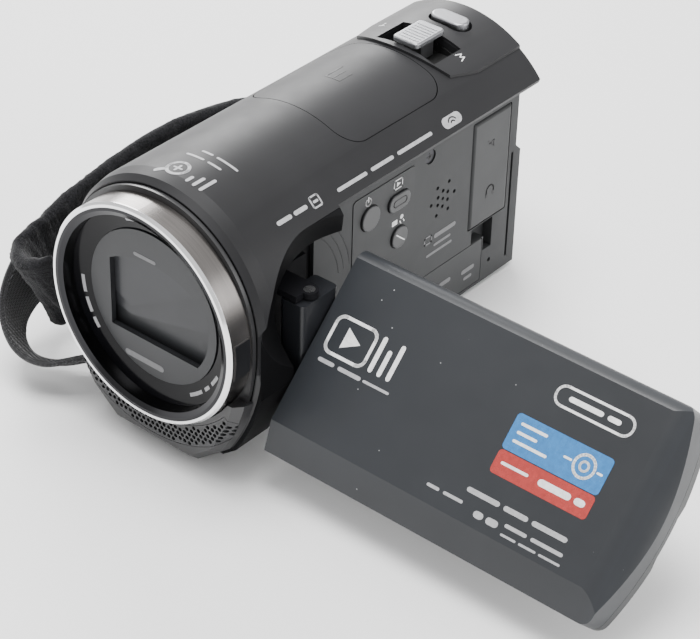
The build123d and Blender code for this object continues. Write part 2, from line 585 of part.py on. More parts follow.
LEVER_X = 1.3
with BuildPart() as lever_tray:
    block(grown(LEVER_SLOT_X, 1.0), grown(LEVER_SLOT_DEPTH, 0.8), (61.2, 64.0))
    block(grown(LEVER_SLOT_X, -0.2), grown(LEVER_SLOT_DEPTH, -0.2), (62.0, 70), mode=Mode.SUBTRACT)
    bar(TUBE_R - WALL - 0.1, (80, 100), z=TUBE_Z, mode=Mode.INTERSECT)
save("lever_tray", lever_tray)

with BuildPart() as zoom_lever:
    block((LEVER_X - 3.6, LEVER_X + 3.6), (85.4, 95.8), (67.1, 68.3))
    fillet(zoom_lever.edges().filter_by(Axis.Z), radius=1.0)
    fillet(zoom_lever.faces().sort_by(Axis.Z)[-1].edges(), radius=0.4)
    block((LEVER_X - 2.6, LEVER_X + 2.6), (88.4, 92.8), (62.6, 67.1))
save("zoom_lever", zoom_lever)

with BuildPart() as photo_button:
    with BuildSketch(Plane.XY.offset(63.0)):
        with Locations((PHOTO_AT[0], back(PHOTO_AT[1]))):
            SlotOverall(9.8, 4.6)
    extrude(amount=4.6)
    fillet(photo_button.faces().sort_by(Axis.Z)[-1].edges(), radius=0.5)
    with BuildSketch(Plane.XY.offset(62.2)):
        with Locations((PHOTO_AT[0], back(PHOTO_AT[1]))):
            SlotOverall(11.6, 6.4)
    extrude(amount=0.8)
save("photo_button", photo_button)

# ---------------------------------------------------------------- rear cover, battery and start button
START_AT = (-9.5, 56.0)     # x and height of the start and stop button
START_R = 4.6
POCKET_T = 1.2          # wall of the battery pocket
BATTERY_CORNER = 8.0    # lower right corner of the pack, which follows the casing


def battery_outline(depth, gap):
    """The pack seen from behind, grown by a gap."""
    size = (BATTERY_X[1] - BATTERY_X[0] + 2 * gap, BATTERY_Z[1] - BATTERY_Z[0] + 2 * gap)
    middle = ((BATTERY_X[0] + BATTERY_X[1]) / 2, (BATTERY_Z[0] + BATTERY_Z[1]) / 2)
    with BuildSketch(Plane.XZ.offset(-back(depth))) as shape:
        with Locations(middle):
            Rectangle(*size)
        fillet(shape.vertices().sort_by(lambda v: v.X + v.Y)[0], radius=BATTERY_CORNER + gap)
    return shape.sketch


with BuildPart() as rear_cover:
    extrude(to_extrude=battery_outline(BATTERY_DEPTH[0] - FIT - POCKET_T, FIT + POCKET_T),
            amount=SHELL_END - 0.1 - BATTERY_DEPTH[0] + FIT + POCKET_T, dir=(0, 1, 0))
    extrude(to_extrude=rear_outline(SHELL_END - 1.8, WALL + 0.1), amount=1.7, dir=(0, 1, 0))
    extrude(to_extrude=rear_outline(90, WALL + 0.1), amount=30, dir=(0, 1, 0), mode=Mode.INTERSECT)
    extrude(to_extrude=battery_outline(BATTERY_DEPTH[0] - FIT, FIT), amount=30, dir=(0, 1, 0), mode=Mode.SUBTRACT)
    bar(START_R + 0.2, (100, 120), x=START_AT[0], z=START_AT[1], mode=Mode.SUBTRACT)
save("rear_cover", rear_cover)

with BuildPart() as start_stop_button:
    bar(START_R, (107.4, SHELL_END + 0.9), x=START_AT[0], z=START_AT[1])
    fillet(start_stop_button.edges().sort_by(Axis.Y)[-1], radius=0.6)
    bar(START_R + 0.9, (106.8, 107.4), x=START_AT[0], z=START_AT[1])
save("start_stop_button", start_stop_button)

with BuildPart() as battery_pack:
    extrude(to_extrude=battery_outline(BATTERY_DEPTH[0], 0), amount=BATTERY_DEPTH[1] - BATTERY_DEPTH[0], dir=(0, 1, 0))
    fillet(battery_pack.faces().sort_by(Axis.Y)[-1].edges(), radius=0.9)
save("battery_pack", battery_pack)

with BuildPart() as battery_terminal:
    block((-8.5, 0.5), (99.3, BATTERY_DEPTH[0] - FIT - POCKET_T - 0.05), (10.0, 16.0))
save("battery_terminal", battery_terminal)

with BuildPart() as battery_release:
    block((RELEASE_AT[0] - 4.0, RELEASE_AT[0] + 4.0), (RELEASE_AT[1] - 2.6, RELEASE_AT[1] + 2.6), (0.3, 2.1))
    fillet(battery_release.edges().filter_by(Axis.Z), radius=1.0)
    block((RELEASE_AT[0] - 6.5, RELEASE_AT[0] + 6.5), (RELEASE_AT[1] - 3.4, RELEASE_AT[1] + 3.4), (2.1, 2.8))
save("battery_release", battery_release)

# ---------------------------------------------------------------- base, inner frame and boards
SOCKET_R = 3.175        # quarter-inch tripod thread
SOCKET_L = 6.0
with BuildPart() as tripod_socket:
    post(6.2, 0, -FRONT, (0, 7.4))
    post(SOCKET_R, 0, -FRONT, (-1, SOCKET_L), mode=Mode.SUBTRACT)
save("tripod_socket", tripod_socket)

with BuildPart() as chassis:
    block((-11.5, 11.5), (20.0, 99.0), (2.2, 3.4))
    block((-11.5, -10.3), (62.0, 99.0), (3.4, 46.0))
    post(6.5, 0, -FRONT, (0, 8), mode=Mode.SUBTRACT)
    for x, depth in BASE_SCREWS:
        post(1.2, x, depth, (0, 8), mode=Mode.SUBTRACT)
save("chassis", chassis)

with BuildPart() as main_board:
    block((2.6, 3.8), (62.0, 99.0), (12.0, 46.0))
    block((3.8, 5.2), (66.0, 78.0), (14.0, 26.0))
    block((3.8, 5.2), (82.0, 92.0), (28.0, 38.0))
save("main_board", main_board)

with BuildPart() as case_screws:
    for x, depth in BASE_SCREWS:
        post(SCREW_HEAD_R, x, depth, (0.2, 1.4))
        post(0.95, x, depth, (1.4, 4.2))
    peg(SCREW_HEAD_R, (13.9, 14.9), WALL_SCREW_AT[0], WALL_SCREW_AT[1])
    peg(0.95, (10.9, 13.9), WALL_SCREW_AT[0], WALL_SCREW_AT[1])
save("case_screws", case_screws)

# ---------------------------------------------------------------- hinge of the screen
ARM_T = 1.6
PIN_R = 1.3
SHAFT_R = 2.2
ARM_NOSE_R = 2.0        # round end of each bracket arm, inside the path of the screen's hinge end
ARM_REACH = 2.2         # how far the arms run behind the swing axis
BRACKET_PLATE = (BAY_X + 0.05, BAY_X + 0.95)
with BuildPart() as hinge_bracket:
    for low in (KNUCKLE_Z[0] - FIT - ARM_T, KNUCKLE_Z[1] + FIT):
        block((BRACKET_PLATE[0], SWING_AXIS[0]), (KNUCKLE_DEPTH[0], SWING_AXIS[1] + ARM_REACH), (low, low + ARM_T))
        post(ARM_NOSE_R, SWING_AXIS[0], SWING_AXIS[1], (low, low + ARM_T))
        post(PIN_R, SWING_AXIS[0], SWING_AXIS[1], (low - 1, low + ARM_T + 1), mode=Mode.SUBTRACT)
    block(BRACKET_PLATE, (KNUCKLE_DEPTH[0], KNUCKLE_DEPTH[1] + 2.6),
          (KNUCKLE_Z[0] - FIT - ARM_T, KNUCKLE_Z[1] + FIT + ARM_T))
save("hinge_bracket", hinge_bracket)

PIN_L = 6.0
with BuildPart() as hinge_pins:
    post(PIN_R, SWING_AXIS[0], SWING_AXIS[1], (KNUCKLE_Z[0] - FIT - ARM_T, KNUCKLE_Z[0] + PIN_L))
    post(PIN_R, SWING_AXIS[0], SWING_AXIS[1], (KNUCKLE_Z[1] - PIN_L, KNUCKLE_Z[1] + FIT + ARM_T))
save("hinge_pins", hinge_pins)

SHAFT_X = (21.0, 37.0)
with BuildPart() as hinge_knuckle:
    block(KNUCKLE_X, KNUCKLE_DEPTH, KNUCKLE_Z)
    fillet(hinge_knuckle.edges().filter_by(Axis.Z), radius=1.2)
    for low in (KNUCKLE_Z[0] - 1, KNUCKLE_Z[1] - PIN_L - FIT):
        post(PIN_R + RUN, SWING_AXIS[0], SWING_AXIS[1], (low, low + PIN_L + FIT + 1), mode=Mode.SUBTRACT)
    peg(SHAFT_R + RUN, (SHAFT_X[0] - 0.3, 30), TILT_AXIS[0], TILT_AXIS[1], mode=Mode.SUBTRACT)
save("hinge_knuckle", hinge_knuckle)

with BuildPart() as tilt_shaft:
    peg(SHAFT_R, SHAFT_X, TILT_AXIS[0], TILT_AXIS[1])
save("tilt_shaft", tilt_shaft)

# ---------------------------------------------------------------- screen housing, drawn flat and placed tipped back
TIP = math.radians(PANEL_TILT)
PANEL_PLANE = Plane(origin=(PANEL_X, back(TILT_AXIS[0]), TILT_AXIS[1]), x_dir=(1, 0, 0),
                    z_dir=(0, -math.cos(TIP), math.sin(TIP)))
HALF_T = PANEL_T / 2
FACE_HIGH = 22.3        # upper edge of the outer face, from the middle of the housing
FACE_LOW = -17.4        # its lower edge, where the bevel starts
BEVEL_DEPTH = 3.4
COVER_SPLIT = -2.6      # where the outer cover meets the screen frame, from the middle
SKIN = 1.4
END_CREASE = 80.5       # where the outer face ends and rounds off to the free end
END_ROUND = 2.6         # fall of the rounding halfway along it


def panel_outline(inset, height=0.0):
    """The housing seen square on: straight hinge end, bulged free end, round corners."""
    with BuildSketch(PANEL_PLANE.offset(height)) as face:
        with BuildLine():
            Polyline((PANEL_L, PANEL_W / 2), (0, PANEL_W / 2), (0, -PANEL_W / 2), (PANEL_L, -PANEL_W / 2))
            ThreePointArc((PANEL_L, -PANEL_W / 2), (PANEL_L + PANEL_BULGE, 0), (PANEL_L, PANEL_W / 2))
        make_face()
        fillet(face.vertices().group_by(Axis.X)[-1], radius=3.0)
        if inset:
            offset(amount=-inset, kind=Kind.INTERSECTION)
    return face.sketch


def side_profile(gap):
    """End section of the housing: flat outer face, broad lower bevel, rounded upper shoulder."""
    half = PANEL_W / 2 - gap
    top = HALF_T - gap
    end_plane = Plane(origin=PANEL_PLANE.origin, x_dir=PANEL_PLANE.y_dir, z_dir=PANEL_PLANE.x_dir)
    with BuildSketch(end_plane.offset(-1)) as shape:
        with BuildLine():
            Polyline((-half, -HALF_T), (half, -HALF_T), (half, top - BEVEL_DEPTH))
            TangentArc((half, top - BEVEL_DEPTH), (FACE_HIGH - 3.0, top), tangent=(0, 1))
            Polyline((FACE_HIGH - 3.0, top), (FACE_LOW, top), (-half, top - BEVEL_DEPTH), (-half, -HALF_T))
        make_face()
    return shape.sketch


def end_profile(gap):
    """Section along the housing: flat outer face, broad rounding down to the free end."""
    top = HALF_T - gap
    tip = PANEL_L + PANEL_BULGE + 1 - gap
    side_plane = Plane(origin=PANEL_PLANE.origin, x_dir=PANEL_PLANE.x_dir, z_dir=-PANEL_PLANE.y_dir)
    with BuildSketch(side_plane) as shape:
        with BuildLine():
            Polyline((END_CREASE - gap / 2, top), (-2, top), (-2, -HALF_T), (tip, -HALF_T), (tip, COVER_SPLIT))
            ThreePointArc((tip, COVER_SPLIT), ((END_CREASE + 2 * tip) / 3, top - END_ROUND),
                          (END_CREASE - gap / 2, top))
        make_face()
    return shape.sketch


SHAFT_ROOM = (37.5 - PANEL_X, 5.0)      # bearing block at the hinge end: length and half width
with BuildPart() as panel_cover:
    extrude(to_extrude=panel_outline(0, COVER_SPLIT), amount=HALF_T - COVER_SPLIT)
    extrude(to_extrude=side_profile(0), amount=PANEL_L + 10, mode=Mode.INTERSECT)
    extrude(to_extrude=end_profile(0), amount=PANEL_W, both=True, mode=Mode.INTERSECT)
    with BuildPart(mode=Mode.PRIVATE) as hollow:
        extrude(to_extrude=panel_outline(SKIN, COVER_SPLIT - 1), amount=HALF_T)
        extrude(to_extrude=side_profile(SKIN), amount=PANEL_L + 10, mode=Mode.INTERSECT)
        extrude(to_extrude=end_profile(SKIN), amount=PANEL_W, both=True, mode=Mode.INTERSECT)
        with BuildSketch(PANEL_PLANE.offset(COVER_SPLIT - 2)):
            Rectangle(SHAFT_ROOM[0], 2 * SHAFT_ROOM[1], align=(Align.MIN, Align.CENTER))
        extrude(amount=PANEL_T, mode=Mode.SUBTRACT)
    add(hollow.part, mode=Mode.SUBTRACT)
    peg(SHAFT_R + RUN, (PANEL_X - 1, SHAFT_X[1] + FIT), TILT_AXIS[0], TILT_AXIS[1], mode=Mode.SUBTRACT)
save("panel_cover", panel_cover)

SCREEN_AT = 45.5        # middle of the screen, from the hinge end
SCREEN_SIZE = (66.0, 38.0)
BEZEL_EDGE = 1.5        # rounding of the frame's inner side
NOTCH_R = 40.0          # finger notch in the free end
NOTCH_DEEP = 1.2
with BuildPart() as panel_bezel:
    extrude(to_extrude=panel_outline(0, -HALF_T), amount=HALF_T + COVER_SPLIT - 0.1)
    fillet(panel_bezel.faces().sort_by(lambda f: f.center().dot(PANEL_PLANE.z_dir))[0].edges(), radius=BEZEL_EDGE)
    with BuildSketch(PANEL_PLANE.offset(-HALF_T + SKIN)):
        with Locations((SCREEN_AT - 1.0, 0)):
            Rectangle(76, PANEL_W - 3 * SKIN)
    extrude(amount=10, mode=Mode.SUBTRACT)
    with BuildSketch(PANEL_PLANE.offset(-HALF_T - 1)):
        with Locations((SCREEN_AT, 0)):
            RectangleRounded(SCREEN_SIZE[0] + 0.4, SCREEN_SIZE[1] + 0.4, 0.8)
    extrude(amount=5, mode=Mode.SUBTRACT)
    with BuildSketch(PANEL_PLANE.offset(-HALF_T - 1)):
        with Locations((PANEL_L + PANEL_BULGE - NOTCH_DEEP + NOTCH_R, -1.5)):
            Circle(NOTCH_R)
    extrude(amount=3.2, mode=Mode.SUBTRACT)
save("panel_bezel", panel_bezel)

with BuildPart() as lcd_screen:
    with BuildSketch(PANEL_PLANE.offset(-HALF_T + 0.3)):
        with Locations((SCREEN_AT, 0)):
            RectangleRounded(SCREEN_SIZE[0], SCREEN_SIZE[1], 0.6)
    extrude(amount=1.0)
save("lcd_screen", lcd_screen)

with BuildPart() as lcd_module:
    with BuildSketch(PANEL_PLANE.offset(-HALF_T + 1.5)):
        with Locations((SCREEN_AT, 0)):
            Rectangle(67, 42)
    extrude(amount=2.6)
save("lcd_module", lcd_module)

# ---------------------------------------------------------------- hand strap with its pad and its two anchors
STRAP_T = 1.5
PAD_T = 3.6


def band(stations, thick):
    """A strap drawn through stations of (middle as x, depth and z; width; direction across), end to end."""
    points = [Vector(x, back(depth), z) for (x, depth, z), width, across in stations]
    with BuildPart() as strip:
        for i, (middle, width, across) in enumerate(stations):
            along = (points[min(i + 1, len(points) - 1)] - points[max(i - 1, 0)]).normalized()
            across = Vector(*across)
            across = (across - along * across.dot(along)).normalized()
            with BuildSketch(Plane(origin=points[i], x_dir=across, z_dir=along)):
                Rectangle(width, thick)
        loft(ruled=True)
    return strip.part


with BuildPart() as strap_webbing:
    add(band([
        ((-26.2, 9.5, 7.5), 13, (0.41, -0.72, 0.54)),
        ((-33.0, 5.6, 6.6), 13, (0.35, -0.72, 0.58)),
        ((-40.5, 5.2, 8.6), 13, (0.20, -0.66, 0.70)),
        ((-45.8, 9.0, 14.0), 15, (0.10, -0.60, 0.78)),
        ((-47.2, 17.5, 20.5), 18, (0.0, -0.42, 0.90)),
        ((-46.5, 31.0, 26.0), 21, (0.0, -0.22, 0.98)),
        ((-44.6, 50.0, 30.4), 22, (0.0, -0.10, 1.0)),
        ((-40.6, 68.0, 31.8), 22, (0.05, 0.0, 1.0)),
        ((-35.6, 82.0, 31.6), 21, (0.08, 0.0, 1.0)),
        ((-31.2, 92.4, 31.0), 20, (0.08, 0.0, 1.0))], STRAP_T))
save("strap_webbing", strap_webbing)

with BuildPart() as strap_pad:
    add(band([
        ((-31.4, 10.0, 25.0), 20, (0.10, -0.25, 0.97)),
        ((-37.0, 7.4, 23.0), 22, (0.05, -0.45, 0.90)),
        ((-41.6, 11.0, 22.2), 25, (0.0, -0.48, 0.88)),
        ((-43.6, 19.0, 23.0), 27, (0.0, -0.36, 0.93)),
        ((-43.2, 31.0, 26.4), 28, (0.0, -0.22, 0.98)),
        ((-41.3, 50.0, 30.0), 28, (0.0, -0.10, 1.0)),
        ((-37.4, 67.0, 31.0), 28, (0.05, 0.0, 1.0)),
        ((-33.6, 78.5, 31.0), 26, (0.08, 0.0, 1.0))], PAD_T))
save("strap_pad", strap_pad)

ANCHOR_GAP = 0.05
with BuildPart() as strap_anchor_front:
    block((-24.4, -17.0), (8.6, 17.0), (5.0, 12.0))
    fillet(strap_anchor_front.edges().filter_by(Axis.Z), radius=1.0)
    extrude(to_extrude=full_outline(SHELL_START - 4, -ANCHOR_GAP), amount=30, dir=(0, 1, 0), mode=Mode.SUBTRACT)
save("strap_anchor_front", strap_anchor_front)

with BuildPart() as strap_anchor_rear:
    block((-32.4, -24.0), (93.4, 98.6), (19.6, 42.4))
    fillet(strap_anchor_rear.edges().filter_by(Axis.Z), radius=1.2)
    extrude(to_extrude=rear_outline(90, -ANCHOR_GAP), amount=30, dir=(0, 1, 0), mode=Mode.SUBTRACT)
save("strap_anchor_rear", strap_anchor_rear)
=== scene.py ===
"""Looks of the palm camcorder: materials, printed marks, grille, strap, studio and camera."""
import math

import bmesh
import bpy
from mathutils import Matrix, Vector, noise
from mathutils.bvhtree import BVHTree
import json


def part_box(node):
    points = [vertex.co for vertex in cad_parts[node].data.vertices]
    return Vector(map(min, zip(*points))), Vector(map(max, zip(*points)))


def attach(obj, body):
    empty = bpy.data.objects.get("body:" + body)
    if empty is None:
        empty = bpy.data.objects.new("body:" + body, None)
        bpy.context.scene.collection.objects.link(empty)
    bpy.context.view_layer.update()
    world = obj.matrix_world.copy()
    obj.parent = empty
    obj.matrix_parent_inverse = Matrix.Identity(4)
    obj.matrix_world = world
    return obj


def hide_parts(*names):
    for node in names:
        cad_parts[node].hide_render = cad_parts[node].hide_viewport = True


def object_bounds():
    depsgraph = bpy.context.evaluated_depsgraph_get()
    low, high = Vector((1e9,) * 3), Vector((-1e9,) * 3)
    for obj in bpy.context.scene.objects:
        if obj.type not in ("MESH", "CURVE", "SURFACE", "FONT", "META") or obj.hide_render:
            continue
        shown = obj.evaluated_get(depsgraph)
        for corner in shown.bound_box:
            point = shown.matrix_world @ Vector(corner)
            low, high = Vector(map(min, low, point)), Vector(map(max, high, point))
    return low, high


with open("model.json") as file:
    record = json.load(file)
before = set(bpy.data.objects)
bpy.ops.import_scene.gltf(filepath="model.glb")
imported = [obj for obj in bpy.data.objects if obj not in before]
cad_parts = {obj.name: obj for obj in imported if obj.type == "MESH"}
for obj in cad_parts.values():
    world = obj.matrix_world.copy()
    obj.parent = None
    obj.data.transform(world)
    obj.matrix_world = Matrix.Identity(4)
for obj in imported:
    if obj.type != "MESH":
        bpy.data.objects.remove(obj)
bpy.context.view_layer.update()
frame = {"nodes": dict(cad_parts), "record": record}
NODES = frame["nodes"]
MM = 0.001
FRONT = -55.0 * MM              # Y of the lens ring's front face
LENS_Z = 36.7 * MM              # height of the lens axis
TUBE_Z = 37.7 * MM              # height of the round casing's axis
TUBE_R = 28.3 * MM
WALL_X = 15.2 * MM              # outer face of the flat left wall
WALL_START = 38.7               # depth of its front edge
PLATE_RISE = 0.15 * MM          # how far the button plate, jack cover and buttons stand out of the wall
JACK_COVER_RISE = 0.35 * MM
BUTTON_RISE = 0.75 * MM
WALL_SCREW_X = 14.9 * MM        # faces of the heads of the wall screw and the base screws
BASE_SCREW_Z = 0.2 * MM
BASE_SCREWS = ((-6, 24), (8, 24), (-6, 92), (9, 92))    # x and depth
TIP = math.radians(44.75)       # how far the screen is tipped back
PANEL_U = Vector((0, math.sin(TIP), math.cos(TIP)))     # up along the screen
PANEL_N = Vector((0, -math.cos(TIP), math.sin(TIP)))    # out of its outer face
PANEL_AT = Vector((27.1 * MM, FRONT + 28.1 * MM, 24.7 * MM))    # middle of its hinge end
PANEL_FACE = 6.3 * MM           # outer face above the middle

# ---------------------------------------------------------------- shader helpers
FINE_RELIEF = 0.02 * MM         # depth of the finest grain
DUST = (0.45, 0.46, 0.47)
SPECK_SCALE = 420.0             # cells per metre, some of them with a speck of dust
SPECK_R = 0.07                  # size of a speck in its cell
DRAWN_SCALE = 320.0             # grain of drawn metal
RIM_DEPTH = (0.65 * MM, 0.75 * MM)      # where the lens ring's bright rim ends at its side
RIM_R = (24.8 * MM, 24.9 * MM)          # and on the inside


class Nodes:
    """One material's node tree, with short calls for the nodes used here."""

    def __init__(self, name):
        self.mat = bpy.data.materials.new(name)
        self.mat.use_nodes = True
        self.tree = self.mat.node_tree
        self.bsdf = self.tree.nodes["Principled BSDF"]
        self.coords = self.add("ShaderNodeTexCoord").outputs["Object"]

    def add(self, kind, **values):
        node = self.tree.nodes.new(kind)
        for key, value in values.items():
            setattr(node, key, value)
        return node

    def link(self, a, b):
        self.tree.links.new(a, b)

    def set(self, **values):
        """Constants on the main shader's sockets, with _ in place of the spaces in a socket's name."""
        for key, value in values.items():
            self.bsdf.inputs[key.replace("_", " ")].default_value = value

    def noise(self, scale, detail=3.0, rough=0.55, stretch=None):
        node = self.add("ShaderNodeTexNoise")
        node.inputs["Scale"].default_value = scale
        node.inputs["Detail"].default_value = detail
        node.inputs["Roughness"].default_value = rough
        source = self.coords
        if stretch:
            mapping = self.add("ShaderNodeMapping")
            mapping.inputs["Scale"].default_value = stretch
            self.link(source, mapping.inputs["Vector"])
            source = mapping.outputs["Vector"]
        self.link(source, node.inputs["Vector"])
        return node.outputs["Fac"]

    def ramp(self, value, low, high, a=0.0, b=1.0):
        """The value's stretch from low to high, spread from a to b."""
        node = self.add("ShaderNodeMapRange")
        node.inputs["From Min"].default_value = low
        node.inputs["From Max"].default_value = high
        node.inputs["To Min"].default_value = a
        node.inputs["To Max"].default_value = b
        self.link(value, node.inputs["Value"])
        return node.outputs["Result"]

    def mix(self, factor, a, b):
        node = self.add("ShaderNodeMix", data_type="RGBA")
        self.link(factor, node.inputs["Factor"])
        for socket, value in ((node.inputs[6], a), (node.inputs[7], b)):
            if hasattr(value, "links"):
                self.link(value, socket)
            else:
                socket.default_value = (*value, 1.0)
        return node.outputs[2]

    def product(self, a, b):
        node = self.add("ShaderNodeMath", operation="MULTIPLY")
        self.link(a, node.inputs[0])
        self.link(b, node.inputs[1])
        return node.outputs[0]

    def bump(self, height, strength, distance):
        """Relief from a height, added to any relief that is there already."""
        node = self.add("ShaderNodeBump")
        node.inputs["Strength"].default_value = strength
        node.inputs["Distance"].default_value = distance
        self.link(height, node.inputs["Height"])
        if self.bsdf.inputs["Normal"].links:
            self.link(self.bsdf.inputs["Normal"].links[0].from_socket, node.inputs["Normal"])
        self.link(node.outputs["Normal"], self.bsdf.inputs["Normal"])

    def specks(self, colour, amount):
        """Tiny pale dust specks, sparse and of uneven size."""
        cells = self.add("ShaderNodeTexVoronoi")
        cells.inputs["Scale"].default_value = SPECK_SCALE
        self.link(self.coords, cells.inputs["Vector"])
        dots = self.ramp(cells.outputs["Distance"], SPECK_R, SPECK_R / 2)
        patch = self.ramp(self.noise(90.0, 2.0), 1.0 - amount, 1.02 - amount)
        return self.mix(self.product(dots, patch), colour, DUST)


def shade(colour, factor):
    """A colour made darker or paler by a factor."""
    return tuple(min(1.0, c * factor) for c in colour)


def plastic(name, colour, rough=0.42, grain=2600.0, strength=0.25, wear=0.25, dust=0.0, coat=0.0, spec=0.5):
    """Moulded plastic: fine texture, slight unevenness of colour and sheen, paler worn edges."""
    n = Nodes(name)
    cloudy = n.mix(n.ramp(n.noise(55.0, 4.0), 0.35, 0.68), shade(colour, 0.90), shade(colour, 1.10))
    if wear:
        edge = n.add("ShaderNodeNewGeometry").outputs["Pointiness"]
        cloudy = n.mix(n.ramp(edge, 0.52, 0.62, 0.0, wear), cloudy, shade(colour, 2.4))
    if dust:
        cloudy = n.specks(cloudy, dust)
    n.link(cloudy, n.bsdf.inputs["Base Color"])
    n.link(n.ramp(n.noise(160.0, 4.0), 0.3, 0.7, rough - 0.02, rough + 0.03), n.bsdf.inputs["Roughness"])
    n.bump(n.noise(grain, 2.0), strength, FINE_RELIEF)
    n.set(Specular_IOR_Level=spec, Coat_Weight=coat, Coat_Roughness=0.08)
    return n.mat


def metal(name, colour, rough=0.28, stretch=(1.0, 60.0, 60.0), strength=0.15):
    """Metal with a drawn grain; the stretch is smallest along the grain."""
    n = Nodes(name)
    lines = n.noise(DRAWN_SCALE, 4.0, 0.6, stretch)
    tone = n.mix(n.ramp(lines, 0.3, 0.7), shade(colour, 0.86), shade(colour, 1.08))
    n.link(tone, n.bsdf.inputs["Base Color"])
    n.link(n.ramp(lines, 0.3, 0.7, rough - 0.06, rough + 0.08), n.bsdf.inputs["Roughness"])
    n.set(Metallic=1.0)
    n.bump(lines, strength, FINE_RELIEF)
    return n.mat


def gloss(name, colour, rough=0.06, coat=0.6, spec=0.5):
    """Polished surface with faint smears."""
    n = Nodes(name)
    n.link(n.mix(n.ramp(n.noise(70.0, 4.0), 0.35, 0.7), shade(colour, 0.85), shade(colour, 1.15)),
           n.bsdf.inputs["Base Color"])
    n.link(n.ramp(n.noise(130.0, 5.0), 0.35, 0.75, rough, rough + 0.07), n.bsdf.inputs["Roughness"])
    n.set(Coat_Weight=coat, Coat_Roughness=0.03, Specular_IOR_Level=spec)
    n.bump(n.noise(900.0, 2.0), 0.02, FINE_RELIEF)
    return n.mat


def ring_metal():
    """Lens ring: polished rim, black sloped inside, satin turned side with a warm dark tone."""
    n = Nodes("ring_chrome")
    split = n.add("ShaderNodeSeparateXYZ")
    n.link(n.coords, split.inputs[0])
    side = n.ramp(split.outputs["Y"], FRONT + RIM_DEPTH[0], FRONT + RIM_DEPTH[1])
    reach = n.add("ShaderNodeCombineXYZ")
    n.link(split.outputs["X"], reach.inputs["X"])
    n.link(n.ramp(split.outputs["Z"], 0.0, 1.0, -LENS_Z, 1.0 - LENS_Z), reach.inputs["Z"])
    radius = n.add("ShaderNodeVectorMath", operation="LENGTH")
    n.link(reach.outputs[0], radius.inputs[0])
    rim = n.ramp(radius.outputs["Value"], RIM_R[0], RIM_R[1])
    lines = n.noise(60.0, 4.0, 0.6, (1.0, 120.0, 1.0))
    brushed = n.mix(n.ramp(lines, 0.3, 0.7), (0.17, 0.16, 0.155), (0.25, 0.235, 0.225))
    outer = n.mix(side, (0.90, 0.90, 0.91), brushed)
    n.link(n.mix(rim, (0.03, 0.03, 0.032), outer), n.bsdf.inputs["Base Color"])
    n.link(n.ramp(side, 0.0, 1.0, 0.10, 0.26), n.bsdf.inputs["Roughness"])
    n.set(Metallic=1.0)
    n.bump(lines, 0.10, FINE_RELIEF / 2)
    return n.mat


def woven(name, colour, pitch):
    """Woven nylon: crossing yarn bands with loose fibres."""
    n = Nodes(name)
    waves = []
    for direction in ("Y", "Z"):
        wave = n.add("ShaderNodeTexWave", bands_direction=direction)
        wave.inputs["Scale"].default_value = 1.0 / pitch
        wave.inputs["Distortion"].default_value = 1.2
        wave.inputs["Detail Scale"].default_value = 3.0
        n.link(n.coords, wave.inputs["Vector"])
        waves.append(wave.outputs["Fac"])
    weave = n.product(*waves)
    n.link(n.mix(weave, shade(colour, 0.55), shade(colour, 1.5)), n.bsdf.inputs["Base Color"])
    n.set(Roughness=0.75, Sheen_Weight=0.15, Sheen_Roughness=0.5)
    n.bump(weave, 0.6, 0.3 * MM)
    n.bump(n.noise(1500.0, 3.0), 0.4, 0.1 * MM)
    return n.mat


def fuzzy(name, colour):
    """Brushed loop fabric: matted fibres with soft clumps."""
    n = Nodes(name)
    clumps = n.noise(420.0, 6.0, 0.7)
    fibres = n.noise(2600.0, 4.0, 0.75)
    tone = n.mix(n.ramp(fibres, 0.35, 0.7), shade(colour, 0.5), shade(colour, 7.0))
    n.link(tone, n.bsdf.inputs["Base Color"])
    n.set(Roughness=0.95, Specular_IOR_Level=0.15, Sheen_Weight=0.18, Sheen_Roughness=0.4)
    n.bump(clumps, 0.7, 0.5 * MM)
    n.bump(fibres, 0.9, 0.3 * MM)
    return n.mat


def ink(name, colour, rough=0.5):
    """Printed ink with slightly uneven cover."""
    n = Nodes(name)
    n.link(n.mix(n.ramp(n.noise(900.0, 3.0), 0.3, 0.7), shade(colour, 0.85), shade(colour, 1.08)),
           n.bsdf.inputs["Base Color"])
    n.link(n.ramp(n.noise(500.0, 3.0), 0.3, 0.7, rough - 0.05, rough + 0.08), n.bsdf.inputs["Roughness"])
    return n.mat


